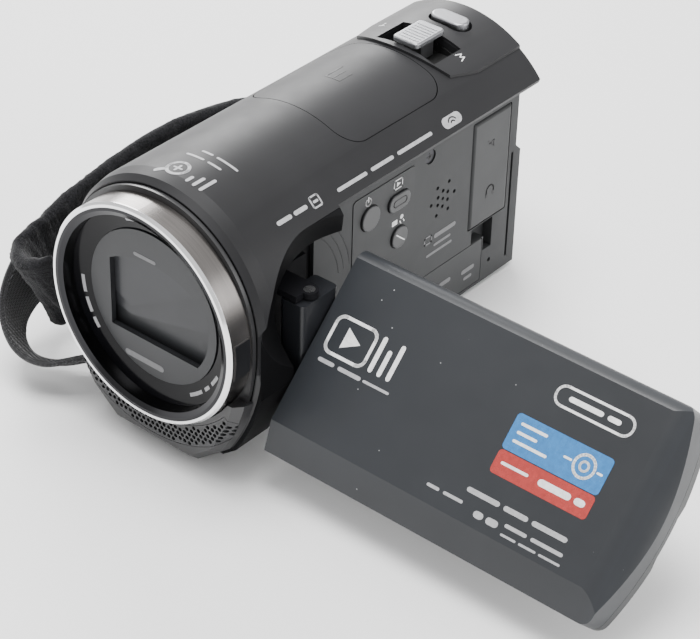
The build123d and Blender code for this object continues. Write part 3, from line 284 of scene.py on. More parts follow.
# ---------------------------------------------------------------- materials on the frame's own pieces
DARK = (0.013, 0.013, 0.014)
SILVER = (0.36, 0.365, 0.38)
STEEL = (0.55, 0.55, 0.56)
MATERIALS = {
    "casing_dark": plastic("casing_dark", DARK, rough=0.46, dust=0.30, spec=0.20),
    "shoe_cover_dark": plastic("shoe_cover_dark", shade(DARK, 1.05), rough=0.46, dust=0.25, spec=0.20),
    "deck_dark": plastic("deck_dark", shade(DARK, 1.05), rough=0.42, dust=0.20, spec=0.28),
    "wall_grey": plastic("wall_grey", (0.033, 0.034, 0.035), rough=0.52, grain=1900.0, strength=0.35,
                         dust=0.25, spec=0.20),
    "plate_grey": plastic("plate_grey", (0.030, 0.031, 0.032), rough=0.50, grain=1900.0, spec=0.25),
    "wall_cover": plastic("wall_cover", (0.032, 0.033, 0.034), rough=0.48, grain=1900.0, dust=0.2, spec=0.25),
    "base_black": plastic("base_black", (0.014, 0.014, 0.015), rough=0.55, grain=1500.0, strength=0.5),
    # The hinge cover is about three times darker than the casing it matches: painted shade of its recessed
    # scoop.
    "hinge_cover_dark": plastic("hinge_cover_dark", (0.0045, 0.0045, 0.005), rough=0.50, dust=0.08,
                                spec=0.06),
    "rear_black": plastic("rear_black", (0.020, 0.020, 0.021), rough=0.55, grain=1500.0, strength=0.5),
    "bezel_black": plastic("bezel_black", (0.018, 0.018, 0.019), rough=0.32, coat=0.1),
    "mic_grille": plastic("mic_grille", (0.030, 0.030, 0.032), rough=0.42, wear=0.1),
    "screen_cover": plastic("screen_cover", (0.013, 0.0145, 0.017), rough=0.38, grain=3200.0, strength=0.18,
                            dust=0.42, wear=0.4, spec=0.45),
    "screen_frame": plastic("screen_frame", (0.012, 0.013, 0.014), rough=0.38),
    "screen_glass": gloss("screen_glass", (0.006, 0.007, 0.009), rough=0.04, coat=1.0),
    "module_steel": metal("module_steel", STEEL),
    "ring_chrome": ring_metal(),
    "badge_black": gloss("badge_black", (0.008, 0.008, 0.009), rough=0.10, coat=0.8),
    "name_ring_gloss": gloss("name_ring_gloss", (0.004, 0.004, 0.005), rough=0.10, coat=0.0, spec=0.12),
    "barrier_grey": plastic("barrier_grey", (0.020, 0.021, 0.023), rough=0.34, coat=0.05, wear=0.15,
                            spec=0.3),
    "blade_grey": plastic("blade_grey", (0.026, 0.027, 0.030), rough=0.34, coat=0.05, wear=0.15, spec=0.3),
    "blade_dark": plastic("blade_dark", (0.022, 0.023, 0.025), rough=0.34, wear=0.15, spec=0.3),
    "barrier_black": plastic("barrier_black", (0.008, 0.008, 0.009), rough=0.5),
    "lens_glass": gloss("lens_glass", (0.012, 0.012, 0.030), rough=0.02, coat=1.0),
    "barrel_black": plastic("barrel_black", (0.010, 0.010, 0.011), rough=0.5),
    "sensor_glass": gloss("sensor_glass", (0.02, 0.05, 0.05)),
    "board": plastic("board", (0.01, 0.10, 0.04), rough=0.35, coat=0.4),
    "button_dark": plastic("button_dark", (0.030, 0.031, 0.033), rough=0.34, wear=0.5),
    "start_button": plastic("start_button", (0.32, 0.32, 0.33), rough=0.34, coat=0.2),
    "button_silver": metal("button_silver", SILVER, rough=0.34, stretch=(1.0, 8.0, 8.0)),
    "lever_silver": metal("lever_silver", SILVER, rough=0.34, stretch=(1.0, 30.0, 8.0), strength=0.3),
    "tray_black": plastic("tray_black", (0.010, 0.010, 0.010), rough=0.5),
    "shoe_steel": metal("shoe_steel", (0.5, 0.5, 0.51), stretch=(60.0, 1.0, 60.0)),
    "speaker": plastic("speaker", (0.008, 0.008, 0.008), rough=0.7),
    "microphone": metal("microphone", (0.5, 0.5, 0.5)),
    "jack_black": plastic("jack_black", (0.010, 0.010, 0.010), rough=0.4),
    "jack_steel": metal("jack_steel", STEEL),
    "battery_black": plastic("battery_black", (0.020, 0.020, 0.022), rough=0.5, grain=1500.0, strength=0.5,
                             wear=0.4),
    "terminal_brass": metal("terminal_brass", (0.75, 0.58, 0.28)),
    "release_grey": plastic("release_grey", (0.06, 0.06, 0.06), rough=0.5),
    "socket_steel": metal("socket_steel", STEEL, stretch=(20.0, 20.0, 20.0)),
    "chassis_steel": metal("chassis_steel", (0.06, 0.06, 0.062)),
    "screw_steel": metal("screw_steel", (0.05, 0.05, 0.055), rough=0.4),
    "bracket_steel": plastic("bracket_steel", (0.006, 0.006, 0.007), rough=0.60, wear=0.3, spec=0.04),
    "pin_steel": metal("pin_steel", (0.5, 0.5, 0.51)),
    "knuckle_black": plastic("knuckle_black", (0.008, 0.0085, 0.010), rough=0.32, wear=0.6, coat=0.1,
                             spec=0.3),
    "shaft_steel": metal("shaft_steel", (0.4, 0.4, 0.41)),
    "webbing": woven("webbing", (0.016, 0.016, 0.018), 1.6 * MM),
    "pad_fabric": fuzzy("pad_fabric", (0.004, 0.004, 0.0045)),
    "anchor_black": plastic("anchor_black", (0.015, 0.015, 0.016), rough=0.4),
}
SLOT_OF = {part["node"]: part["material_slot"] for part in frame["record"]["subparts"]}
for node, obj in NODES.items():
    material = MATERIALS[SLOT_OF[node]]
    if obj.material_slots:
        for holder in obj.material_slots:
            holder.material = material
    else:
        obj.data.materials.append(material)

WHITE_INK = ink("white_ink", (0.80, 0.80, 0.80))
GREY_INK = ink("grey_ink", (0.36, 0.36, 0.37))
DIM_INK = ink("dim_ink", (0.15, 0.15, 0.155))
BLACK_INK = ink("black_ink", (0.006, 0.006, 0.007))
BLUE_FILM = ink("blue_film", (0.03, 0.17, 0.42), 0.25)
RED_FILM = ink("red_film", (0.36, 0.035, 0.03), 0.25)


# ---------------------------------------------------------------- flat outlines, in millimetres
def pill(a0, b0, a1, b1, width, steps=6):
    """Outline of a straight stroke with round ends."""
    turn = math.atan2(b1 - b0, a1 - a0)
    out = []
    for centre, start in (((a1, b1), turn - math.pi / 2), ((a0, b0), turn + math.pi / 2)):
        for i in range(steps + 1):
            t = start + math.pi * i / steps
            out.append((centre[0] + width / 2 * math.cos(t), centre[1] + width / 2 * math.sin(t)))
    return out


def stroke(points, width):
    """Strokes along a line of points."""
    return [pill(*points[i], *points[i + 1], width, 4) for i in range(len(points) - 1)]


def strokes(width, *lines):
    """Strokes along several lines, each a list of points."""
    return [shape for line in lines for shape in stroke(line, width)]


def plus(a, b, reach, width):
    """Two crossing strokes."""
    return strokes(width, [(a - reach, b), (a + reach, b)], [(a, b - reach), (a, b + reach)])


def arc(a, b, radius, start, end, steps=14):
    """Points along an arc; angles in degrees, from the a direction towards b."""
    turns = [math.radians(start + (end - start) * i / steps) for i in range(steps + 1)]
    return [(a + radius * math.cos(t), b + radius * math.sin(t)) for t in turns]


def ring(a, b, radius, width, steps):
    """A circle drawn as a line."""
    return stroke(arc(a, b, radius, 0, 360, steps), width)


def rounded(a, b, width, height, corner, steps=5):
    """Outline of a rounded rectangle about a centre."""
    out = []
    for sa, sb, start in ((1, 1, 0), (-1, 1, 90), (-1, -1, 180), (1, -1, 270)):
        middle = (a + sa * (width / 2 - corner), b + sb * (height / 2 - corner))
        out += arc(*middle, corner, start, start + 90, steps)
    return out


def outline(a, b, width, height, corner, line):
    """A rounded rectangle drawn as a line."""
    edge = rounded(a, b, width, height, corner)
    return stroke(edge + edge[:1], line)


def dashes(a, b, height, lengths, space=1.0):
    """A row of plain dashes in place of a line of words."""
    shapes = []
    for length in lengths:
        shapes.append(pill(a + height / 2, b, a + length - height / 2, b, height, 5))
        a += length + space
    return shapes


def rows(*lines):
    """Several rows of dashes."""
    return [shape for line in lines for shape in dashes(*line)]


def turned(shapes):
    """The same outlines with their rows running along b."""
    return [[(b, a) for a, b in reversed(shape)] for shape in shapes]


# ---------------------------------------------------------------- places that take (a, b) and a lift
def surface_of(*names):
    """One search tree over the meshes of several frame nodes."""
    verts, faces = [], []
    for name in names:
        mesh = NODES[name].data
        faces += [[len(verts) + v for v in polygon.vertices] for polygon in mesh.polygons]
        verts += [v.co.copy() for v in mesh.vertices]
    return BVHTree.FromPolygons(verts, faces)


ROUND_TOP = surface_of("top_shell", "top_deck", "shoe_cover")
LENS_FRONT = surface_of("barrier_frame", "barrier_blade_upper", "barrier_blade_lower", "name_ring")
CAST_FROM = 60 * MM             # where a ray to the round casing starts, from its axis
CAST_AHEAD = 10 * MM            # and one to the lens front, ahead of the ring


def on_tube(a, b, lift):
    """a is the depth; b is measured round the casing from its top, towards the screen."""
    angle = b * MM / TUBE_R
    out = Vector((math.sin(angle), 0, math.cos(angle)))
    start = Vector((0, FRONT + a * MM, TUBE_Z)) + out * CAST_FROM
    hit = ROUND_TOP.ray_cast(start, -out, CAST_FROM)[0]
    return (hit or start - out * (CAST_FROM - TUBE_R)) + out * lift


def on_panel(a, b, lift):
    """a runs from the hinge end of the screen's cover; b runs up from its middle."""
    return PANEL_AT + Vector((a * MM, 0, 0)) + PANEL_U * (b * MM) + PANEL_N * (PANEL_FACE + lift)


def on_wall(a, b, lift):
    """a is the depth and b the height."""
    return Vector((WALL_X + lift, FRONT + a * MM, b * MM))


def on_plate(a, b, lift):
    return on_wall(a, b, lift + PLATE_RISE)


def on_jack_cover(a, b, lift):
    return on_wall(a, b, lift + JACK_COVER_RISE)


def on_button(a, b, lift):
    return on_wall(a, b, lift + BUTTON_RISE)


def on_wall_screw(a, b, lift):
    return Vector((WALL_SCREW_X + lift, FRONT + a * MM, b * MM))


def on_base(a, b, lift):
    """a is x and b the depth, on the heads of the base screws."""
    return Vector((a * MM, FRONT + b * MM, BASE_SCREW_Z - lift))


def on_lens(a, b, lift):
    """a is x and b the height above the lens axis."""
    start = Vector((a * MM, FRONT - CAST_AHEAD, LENS_Z + b * MM))
    hit = LENS_FRONT.ray_cast(start, Vector((0, 1, 0)))[0]
    return hit + Vector((0, -lift, 0))


# ---------------------------------------------------------------- printed and moulded marks
PRINT_LIFT = 0.02 * MM
PRINT_T = 0.03 * MM
PRINT_ROOT = 0.04 * MM          # how far a print reaches down from its lift
ON_STICKER = 0.055 * MM         # lifts of prints on the sticker and on the badge
ON_BADGE = 0.06 * MM
CURVED = (on_tube, on_lens)
LONGEST_EDGE = 0.9              # of a mark on a curved surface
CUT_ROUNDS = 4


def piece(name, mesh, material, body):
    """A new object that rides on a body of the frame."""
    obj = bpy.data.objects.new(name, mesh)
    bpy.context.scene.collection.objects.link(obj)
    mesh.materials.append(material)
    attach(obj, body)
    return obj


def mesh_of(bm, name, smooth=False):
    """The finished mesh of a bmesh."""
    mesh = bpy.data.meshes.new(name)
    bm.to_mesh(mesh)
    bm.free()
    if smooth:
        mesh.polygons.foreach_set("use_smooth", [True] * len(mesh.polygons))
    return mesh


def marks(name, shapes, place, material, body, lift=PRINT_LIFT):
    """Thin raised prints from closed outlines, put in place by a function; on a curve they are cut fine."""
    bm = bmesh.new()
    for shape in shapes:
        bm.faces.new([bm.verts.new((a, b, 0)) for a, b in shape])
    bmesh.ops.triangulate(bm, faces=bm.faces)
    if place in CURVED:
        for _ in range(CUT_ROUNDS):
            long_edges = [e for e in bm.edges if e.calc_length() > LONGEST_EDGE]
            bmesh.ops.subdivide_edges(bm, edges=long_edges, cuts=1)
            bmesh.ops.triangulate(bm, faces=bm.faces)
    bmesh.ops.recalc_face_normals(bm, faces=bm.faces)
    top = list(bm.verts)
    sides = bmesh.ops.extrude_face_region(bm, geom=list(bm.faces), use_keep_orig=True)["geom"]
    for vert in [v for v in sides if isinstance(v, bmesh.types.BMVert)]:
        vert.co = place(vert.co.x, vert.co.y, lift - PRINT_ROOT)
    for vert in top:
        vert.co = place(vert.co.x, vert.co.y, lift + PRINT_T)
    bmesh.ops.recalc_face_normals(bm, faces=bm.faces)
    return piece(name, mesh_of(bm, name), material, body)


def screen_marks(name, shapes, material=WHITE_INK, lift=PRINT_LIFT):
    marks(name, shapes, on_panel, material, "screen_panel", lift)


def casing_marks(name, shapes, material=GREY_INK, lift=PRINT_LIFT):
    marks(name, shapes, on_tube, material, "camcorder_body", lift)


# Screen cover: a play sign with bars, a plain badge, dashes for words, and a two-colour sticker.
screen_marks("panel_play_frame", outline(8.4, 5.0, 10.6, 8.4, 1.8, 0.75))
screen_marks("panel_play", [[(6.6, 2.6), (10.9, 5.0), (6.6, 7.4)]])
screen_marks("panel_bars", strokes(1.1, [(15.7, 1.4), (15.7, 8.6)], [(18.1, 1.4), (18.1, 6.4)],
                                   [(20.5, 1.4), (20.5, 8.6)]))
screen_marks("panel_dashes_under", rows((3.2, -1.3, 0.9, [4.4, 6.2]), (15.4, -1.3, 0.6, [7.0])), GREY_INK)
screen_marks("panel_badge", outline(65.6, 14.6, 18.6, 4.2, 2.0, 0.55) + dashes(59.4, 14.6, 1.1, [8.4, 3.2]))
screen_marks("sticker_blue", [rounded(62.8, 3.7, 23.6, 8.0, 0.9)], BLUE_FILM)
screen_marks("sticker_red", [rounded(62.8, -3.1, 23.6, 5.2, 0.9)], RED_FILM)
screen_marks("sticker_dashes", rows((52.6, 5.8, 0.65, [6.6]), (52.6, 3.9, 0.65, [5.0]),
                                    (52.6, 2.0, 0.65, [8.4]), (52.6, -3.0, 0.65, [6.8])), lift=ON_STICKER)
screen_marks("sticker_bar", dashes(61.8, -3.0, 1.5, [8.0, 2.6], 0.8), lift=ON_STICKER)
screen_marks("sticker_figure", ring(69.2, 3.8, 2.4, 0.6, 22) + ring(69.2, 3.8, 1.0, 0.5, 14)
             + strokes(0.5, [(64.4, 3.8), (66.0, 3.8)], [(72.4, 3.8), (73.4, 3.8)]), lift=ON_STICKER)
screen_marks("panel_dashes_small", dashes(40.0, -13.8, 0.7, [3.2, 5.0]), GREY_INK)
screen_marks("panel_dashes_long", dashes(48.6, -10.8, 1.1, [8.2, 6.0, 8.6]), GREY_INK)
screen_marks("panel_dashes_foot", rows((52.4, -14.6, 1.5, [2.4, 3.0], 0.7), (59.8, -13.8, 0.8, [5.4, 7.8]),
                                       (59.8, -15.8, 0.5, [3.8, 4.2, 5.2], 0.7)), GREY_INK)

# Round casing: a magnifier with bars, dashes, a small badge, the shoe sign, and the zoom letters.
casing_marks("casing_magnifier", ring(14.4, -1.6, 2.4, 0.75, 24) + strokes(1.0, [(12.8, -3.4), (11.4, -5.2)])
             + plus(14.4, -1.6, 1.0, 0.5))
casing_marks("casing_bars", strokes(0.8, [(12.2, 3.0), (13.8, 3.0)], [(12.2, 4.9), (15.2, 4.9)],
                                    [(12.2, 6.8), (16.6, 6.8)]))
casing_marks("casing_dashes_round", turned(rows((-4.6, 20.2, 0.6, [5.0, 3.8]),
                                                (-2.6, 22.8, 0.6, [3.2, 6.0]))))
casing_marks("casing_dashes_front", dashes(21.2, 21.9, 1.0, [4.6, 4.2], 0.7)
             + outline(33.4, 21.9, 2.6, 2.5, 0.4, 0.4) + dashes(32.6, 21.9, 0.6, [1.6]))
casing_marks("casing_dashes_rear", dashes(40.0, 22.5, 0.85, [9.8, 7.6, 12.0], 1.4))
casing_marks("casing_badge", [rounded(79.4, 22.4, 6.4, 2.7, 1.3)])
casing_marks("casing_badge_arcs", strokes(0.3, arc(79.4, 23.2, 0.7, 210, 330, 6),
                                          arc(79.4, 23.2, 1.5, 210, 330, 8)), BLACK_INK, ON_BADGE)
marks("shoe_sign", strokes(0.4, [(64.6, -4.2), (70.4, -4.2)], [(64.6, -2.2), (68.8, -2.2)],
                           [(64.6, -0.2), (68.8, -0.2)], [(64.6, -4.2), (64.6, -0.2)]),
      on_tube, BLACK_INK, "shoe_cover")
LETTER_LINE = 0.24
casing_marks("lever_letter_w", strokes(LETTER_LINE, [(92.7, 10.3), (94.3, 10.8), (93.2, 11.3), (94.3, 11.8),
                                                     (92.7, 12.3)]), WHITE_INK)
casing_marks("lever_letter_t", strokes(LETTER_LINE, [(92.7, -11.2), (94.3, -11.2)],
                                       [(92.7, -12.0), (92.7, -10.4)]), WHITE_INK)

# Left wall: signs on the button plate, moulded signs on the jack cover drawn in black ink as painted shade of
# their relief, dashes, and black lines round the hinge as painted shade of its grooves.
marks("power_sign", strokes(0.28, arc(56.8, 44.6, 0.95, 125, 415), [(56.8, 44.7), (56.8, 45.9)]),
      on_plate, WHITE_INK, "camcorder_body")
marks("playback_sign", outline(67.2, 44.6, 2.9, 2.3, 0.3, 0.25)
      + [[(66.7, 44.0), (68.0, 44.6), (66.7, 45.2)]], on_plate, WHITE_INK, "camcorder_body")
marks("light_sign", [rounded(66.4, 34.5, 1.9, 1.3, 0.2), rounded(68.9, 35.2, 1.1, 1.1, 0.5)]
      + strokes(0.3, [(68.3, 34.2), (68.6, 33.6)], [(69.5, 34.2), (69.8, 33.6)]),
      on_plate, WHITE_INK, "camcorder_body")
marks("playback_line", outline(67.5, 40.0, 4.6, 1.7, 0.8, 0.2), on_button, BLACK_INK, "playback_button")
marks("light_line", stroke([(66.6, 31.4), (69.4, 29.0)], 0.3), on_button, WHITE_INK, "light_button")
# The jack cover's signs are moulded; the black ink here is painted shade of their relief.
marks("jack_signs_painted_shade", strokes(0.35, [(100.4, 40.9), (102.6, 38.9), (102.6, 40.4), (101.0, 39.9)],
                            arc(102.3, 26.6, 1.4, -20, 200))
      + [rounded(101.0, 25.7, 0.8, 1.5, 0.35), rounded(103.6, 25.7, 0.8, 1.5, 0.35)],
      on_jack_cover, BLACK_INK, "jack_cover")
marks("wall_dashes", outline(79.4, 23.4, 2.6, 1.9, 0.3, 0.35)
      + rows((81.6, 23.4, 1.2, [8.2]), (81.6, 21.0, 0.7, [6.4]), (79.0, 19.0, 0.7, [9.6])),
      on_wall, DIM_INK, "camcorder_body")
marks("card_dashes", rows((84.6, 8.0, 1.2, [4.4]), (93.2, 7.2, 1.2, [5.0]), (94.2, 5.0, 0.9, [3.2])),
      on_wall, DIM_INK, "card_cover")
# Black ink arcs in place of the moulded grooves round the hinge: painted shade of the grooves.
HINGE_GROOVE_SHADE = ((20.4, 64), (22.2, 62), (24.2, 60))      # radius, and the angle where each starts
groove_shade_lines = strokes(0.32, *[arc(27.0, 28.0, radius, start, 8, 16) for radius, start in HINGE_GROOVE_SHADE])
marks("wall_groove_shade", [shape for shape in groove_shade_lines if min(a for a, _ in shape) > WALL_START],
      on_wall, BLACK_INK, "camcorder_body")

# Lens front: dashes in place of words, on the barrier and round the sloped ring.
marks("barrier_dash_top", dashes(-5.2, 11.6, 0.9, [6.4]), on_lens, DIM_INK, "camcorder_body")
marks("barrier_dash_low", dashes(-8.6, -15.2, 1.5, [11.4]), on_lens, DIM_INK, "camcorder_body")
NAME_RADII = (20.2, 21.0)       # of the dashes on the sloped ring
NAME_SPACE = 3.5                # degrees between two dashes
NAME_CUTS = 6                   # flat pieces in a dash


def ring_dashes(start, lengths):
    """Dashes that run round the sloped ring from an angle, clockwise seen from the front, in degrees."""
    inner, outer = NAME_RADII
    shapes = []
    for length in lengths:
        for k in range(NAME_CUTS):
            t0, t1 = (math.radians(start + length * (k + f) / NAME_CUTS) for f in (0.0, 1.0))
            shapes.append([(radius * math.sin(t), radius * math.cos(t))
                           for t, radius in ((t0, inner), (t1, inner), (t1, outer), (t0, outer))])
        start += length + NAME_SPACE
    return shapes


marks("name_ring_dashes",
      ring_dashes(-20, [9, 12]) + ring_dashes(232, [7, 10, 12]) + ring_dashes(116, [9, 5, 12]),
      on_lens, GREY_INK, "camcorder_body")

# ---------------------------------------------------------------- screws' cross recesses drawn in black ink as painted shade, ribs on the lever
CROSS_W = 0.5
# The crosses are raised black ink: painted shade where the screws' recesses are.
marks("wall_screw_cross_shade", plus(78.9, 46.2, 0.8, CROSS_W), on_wall_screw, BLACK_INK, "camcorder_body")
for index, at in enumerate(BASE_SCREWS):
    marks(f"base_screw_cross_shade_{index}", plus(*at, 0.9, CROSS_W), on_base, BLACK_INK, "camcorder_body")
low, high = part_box("zoom_lever")
RIB_DEPTHS = [86.9 + 1.15 * k for k in range(7)]
RIB_ENDS = (low.x / MM + 1.0, high.x / MM - 1.0)
RIB_W = 0.42


def on_lever(a, b, lift):
    """a is x and b the depth."""
    return Vector((a * MM, FRONT + b * MM, high.z + lift))


marks("lever_ribs", [pill(RIB_ENDS[0], depth, RIB_ENDS[1], depth, RIB_W, 3) for depth in RIB_DEPTHS],
      on_lever, MATERIALS["lever_silver"], "zoom_lever", 0.05 * MM)

# ---------------------------------------------------------------- microphone grille with its six-sided holes
HOLE_PITCH = 1.36
HOLE_R = 0.53
ROW_STEP = 0.866                        # between rows, as a part of the pitch
HOLE_ROWS, HOLE_COLUMNS = 20, 26        # on each side of the middle of the grille
GRILLE_MIDDLE = -30.1                   # from the lens axis
GRILLE_RADII = (28.15, 32.1)            # the holes lie between these
GRILLE_SPREAD = 48.6                    # and this far round from straight down, in degrees
CUT_DEPTH = (-2.0, 8.0)


def hole_centres():
    """Middles of the grille's holes, from the lens axis."""
    out = []
    for row in range(-HOLE_ROWS, HOLE_ROWS + 1):
        for column in range(-HOLE_COLUMNS, HOLE_COLUMNS + 1):
            a = column * HOLE_PITCH + (row % 2) * HOLE_PITCH / 2
            b = GRILLE_MIDDLE + row * HOLE_PITCH * ROW_STEP
            spread = math.degrees(math.atan2(abs(a), -b))
            if GRILLE_RADII[0] < math.hypot(a, b) < GRILLE_RADII[1] and spread < GRILLE_SPREAD:
                out.append((a * MM, b * MM))
    return out


def pierced_grille():
    """The grille's own shape with rows of six-sided holes cut through it."""
    mesh = NODES["mic_grille"].data.copy()
    mesh.name = "mic_grille_pierced"
    obj = bpy.data.objects.new("mic_grille_pierced", mesh)
    bpy.context.scene.collection.objects.link(obj)
    bm = bmesh.new()
    turns = [math.radians(60 * k + 30) for k in range(6)]
    for a, b in hole_centres():
        front, rear = ([bm.verts.new((a + HOLE_R * MM * math.cos(t), FRONT + depth * MM,
                                      LENS_Z + b + HOLE_R * MM * math.sin(t))) for t in turns]
                       for depth in CUT_DEPTH)
        for k in range(6):
            j = (k + 1) % 6
            bm.faces.new((front[k], front[j], rear[j], rear[k]))
        bm.faces.new(front)
        bm.faces.new(list(reversed(rear)))
    bmesh.ops.recalc_face_normals(bm, faces=bm.faces)
    cutter = bpy.data.objects.new("grille_holes", mesh_of(bm, "grille_holes"))
    bpy.context.scene.collection.objects.link(cutter)
    cut = obj.modifiers.new("holes", "BOOLEAN")
    cut.operation, cut.solver, cut.object = "DIFFERENCE", "EXACT", cutter
    graph = bpy.context.evaluated_depsgraph_get()
    result = bpy.data.meshes.new_from_object(obj.evaluated_get(graph))
    obj.modifiers.clear()
    obj.data = result
    bpy.data.objects.remove(cutter)
    return obj


grille = pierced_grille()
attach(grille, "camcorder_body")
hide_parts("mic_grille")


# ---------------------------------------------------------------- hand strap
def smooth_path(points, count):
    """Evenly spaced points on a smooth curve through the given ones (Catmull-Rom)."""
    closed = [points[0] + (points[0] - points[1])] + points + [points[-1] + (points[-1] - points[-2])]
    out = []
    spans = len(points) - 1
    for i in range(count + 1):
        t = spans * i / count
        k = min(int(t), spans - 1)
        f = t - k
        p0, p1, p2, p3 = closed[k:k + 4]
        out.append(0.5 * ((2 * p1) + (p2 - p0) * f + (2 * p0 - 5 * p1 + 4 * p2 - p3) * f * f
                          + (3 * p1 - p0 - 3 * p2 + p3) * f ** 3))
    return out


def ribbon(name, stations, count, section, shape):
    """A band swept along stations of (x, depth, z), width and direction across, with a closed section.

    shape takes how far along (0 to 1), how far across (-1 to 1) and the height in the section, and gives
    small shifts across and out. The middles, directions across and widths are returned with the mesh.
    """
    points = [Vector((x * MM, FRONT + depth * MM, z * MM)) for (x, depth, z), _, _ in stations]
    middles = smooth_path(points, count)
    acrosses = smooth_path([Vector(across) for _, _, across in stations], count)
    widths = smooth_path([Vector((width * MM, 0, 0)) for _, width, _ in stations], count)
    bm = bmesh.new()
    lines = []
    for i, middle in enumerate(middles):
        along = (middles[min(i + 1, count)] - middles[max(i - 1, 0)]).normalized()
        side = (acrosses[i] - along * acrosses[i].dot(along)).normalized()
        normal = along.cross(side)
        line = []
        for w, t in section:
            dw, dt = shape(i / count, w, t)
            line.append(bm.verts.new(middle + side * (widths[i].x / 2 * w + dw) + normal * (t + dt)))
        lines.append(line)
    size = len(section)
    for i in range(count):
        for k in range(size):
            j = (k + 1) % size
            bm.faces.new((lines[i][k], lines[i][j], lines[i + 1][j], lines[i + 1][k]))
    bm.faces.new(list(reversed(lines[0])))
    bm.faces.new(lines[-1])
    bmesh.ops.recalc_face_normals(bm, faces=bm.faces)
    return mesh_of(bm, name, smooth=True), middles, acrosses, widths


EDGE_THIN = 0.35        # thickness of a band's outermost edge, as a part of the whole


def band_section(thick, steps, fullness=0.0, edge=0.94):
    """Closed section of a band, from -1 to 1 across; fullness thickens the middle."""
    across = [(-1 + 2 * k / steps) for k in range(steps + 1)]
    upper = [(w, thick / 2 * (1 + fullness * (1 - w * w)) * (EDGE_THIN if abs(w) > edge else 1.0))
             for w in across]
    return upper + [(w, -t) for w, t in reversed(upper)]


WEBBING = [
    ((-25.2, 10.4, 8.0), 12, (0.41, -0.72, 0.54)), ((-33.0, 4.4, 5.8), 13, (0.35, -0.72, 0.58)),
    ((-40.8, 2.8, 7.2), 13, (0.20, -0.66, 0.70)), ((-46.8, 6.6, 12.4), 15, (0.10, -0.60, 0.78)),
    ((-48.2, 16.2, 19.6), 18, (0.0, -0.42, 0.90)), ((-46.8, 31.0, 25.8), 21, (0.0, -0.22, 0.98)),
    ((-44.6, 50.0, 30.4), 22, (0.0, -0.10, 1.0)), ((-40.6, 68.0, 31.8), 22, (0.05, 0.0, 1.0)),
    ((-35.6, 82.0, 31.6), 21, (0.08, 0.0, 1.0)), ((-30.4, 94.2, 31.0), 20, (0.08, 0.0, 1.0))]
PAD = [
    ((-31.4, 10.0, 25.0), 20, (0.10, -0.25, 0.97)), ((-37.0, 7.4, 23.0), 22, (0.05, -0.45, 0.90)),
    ((-41.6, 11.0, 22.2), 25, (0.0, -0.48, 0.88)), ((-43.6, 19.0, 23.0), 27, (0.0, -0.36, 0.93)),
    ((-43.2, 31.0, 26.4), 28, (0.0, -0.22, 0.98)), ((-41.3, 50.0, 30.0), 28, (0.0, -0.10, 1.0)),
    ((-37.4, 67.0, 31.0), 28, (0.05, 0.0, 1.0)), ((-33.6, 78.5, 31.0), 26, (0.08, 0.0, 1.0))]
WEBBING_T = 1.3 * MM
WEBBING_CUTS = (260, 44)       # steps along the band and across it
YARN_RELIEF = 0.10 * MM         # ribs along the webbing
SAG = 0.25 * MM                 # slow waves along it
PAD_THICK = 3.0 * MM
PAD_CUTS = (190, 30)
PUFF = 0.35 * MM                # puffs between the pad's quilting lines
QUILTS = 9
WRINKLE = 0.35 * MM
NAP = 0.30 * MM                 # tufts of the fabric
EDGE_WANDER = 0.5 * MM          # unevenness of the pad's edges
END_FALL = 12.0                 # how fast the pad thins out at its ends
END_THIN = 0.7


def webbing_shape(s, w, t):
    """Fine ribs and slow waves."""
    side = 1 if t > 0 else -1
    return 0.0, YARN_RELIEF * math.sin(w * 46.0) * side + SAG * math.sin(s * 21.0 + w * 1.7)


mesh, middles, acrosses, widths = ribbon("webbing_band", WEBBING, WEBBING_CUTS[0],
                                         band_section(WEBBING_T, WEBBING_CUTS[1]), webbing_shape)
webbing = piece("webbing_band", mesh, MATERIALS["webbing"], "camcorder_body")
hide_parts("strap_webbing")


def pad_shape(s, w, t):
    """Soft puffs between the quilting lines, small wrinkles and tufts, and thin ends."""
    side = 1 if t > 0 else -1
    puff = PUFF * abs(math.sin(s * math.pi * QUILTS)) * (1 - w * w)
    wrinkle = noise.noise(Vector((s * 26.0, w * 3.0, side * 2.0))) * WRINKLE
    end = min(1.0, END_FALL * s, END_FALL * (1 - s))
    nap = noise.noise(Vector((s * 310.0, w * 34.0, side * 3.0))) * NAP
    wander = noise.noise(Vector((s * 18.0, side * 0.4, 5.0))) * EDGE_WANDER
    return wander, side * (puff + wrinkle + nap) - t * (1 - end) * END_THIN


mesh, _, _, _ = ribbon("pad_cushion", PAD, PAD_CUTS[0],
                       band_section(PAD_THICK, PAD_CUTS[1], fullness=0.15, edge=0.97), pad_shape)
pad = piece("pad_cushion", mesh, MATERIALS["pad_fabric"], "camcorder_body")
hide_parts("strap_pad")

THREAD = plastic("thread", (0.05, 0.05, 0.055), rough=0.6, wear=0.0)
STITCH_SIZE = (0.16 * MM, 0.14 * MM, 0.75 * MM)     # half sizes across, out and along
STITCH_IN = 1.3 * MM            # from the webbing's edge
STITCH_LIFT = 0.72 * MM         # from its middle
STITCH_STEP = 4                 # in steps of the webbing's sweep
STITCHED = (0.30, 0.97)         # the sewn stretch of the webbing


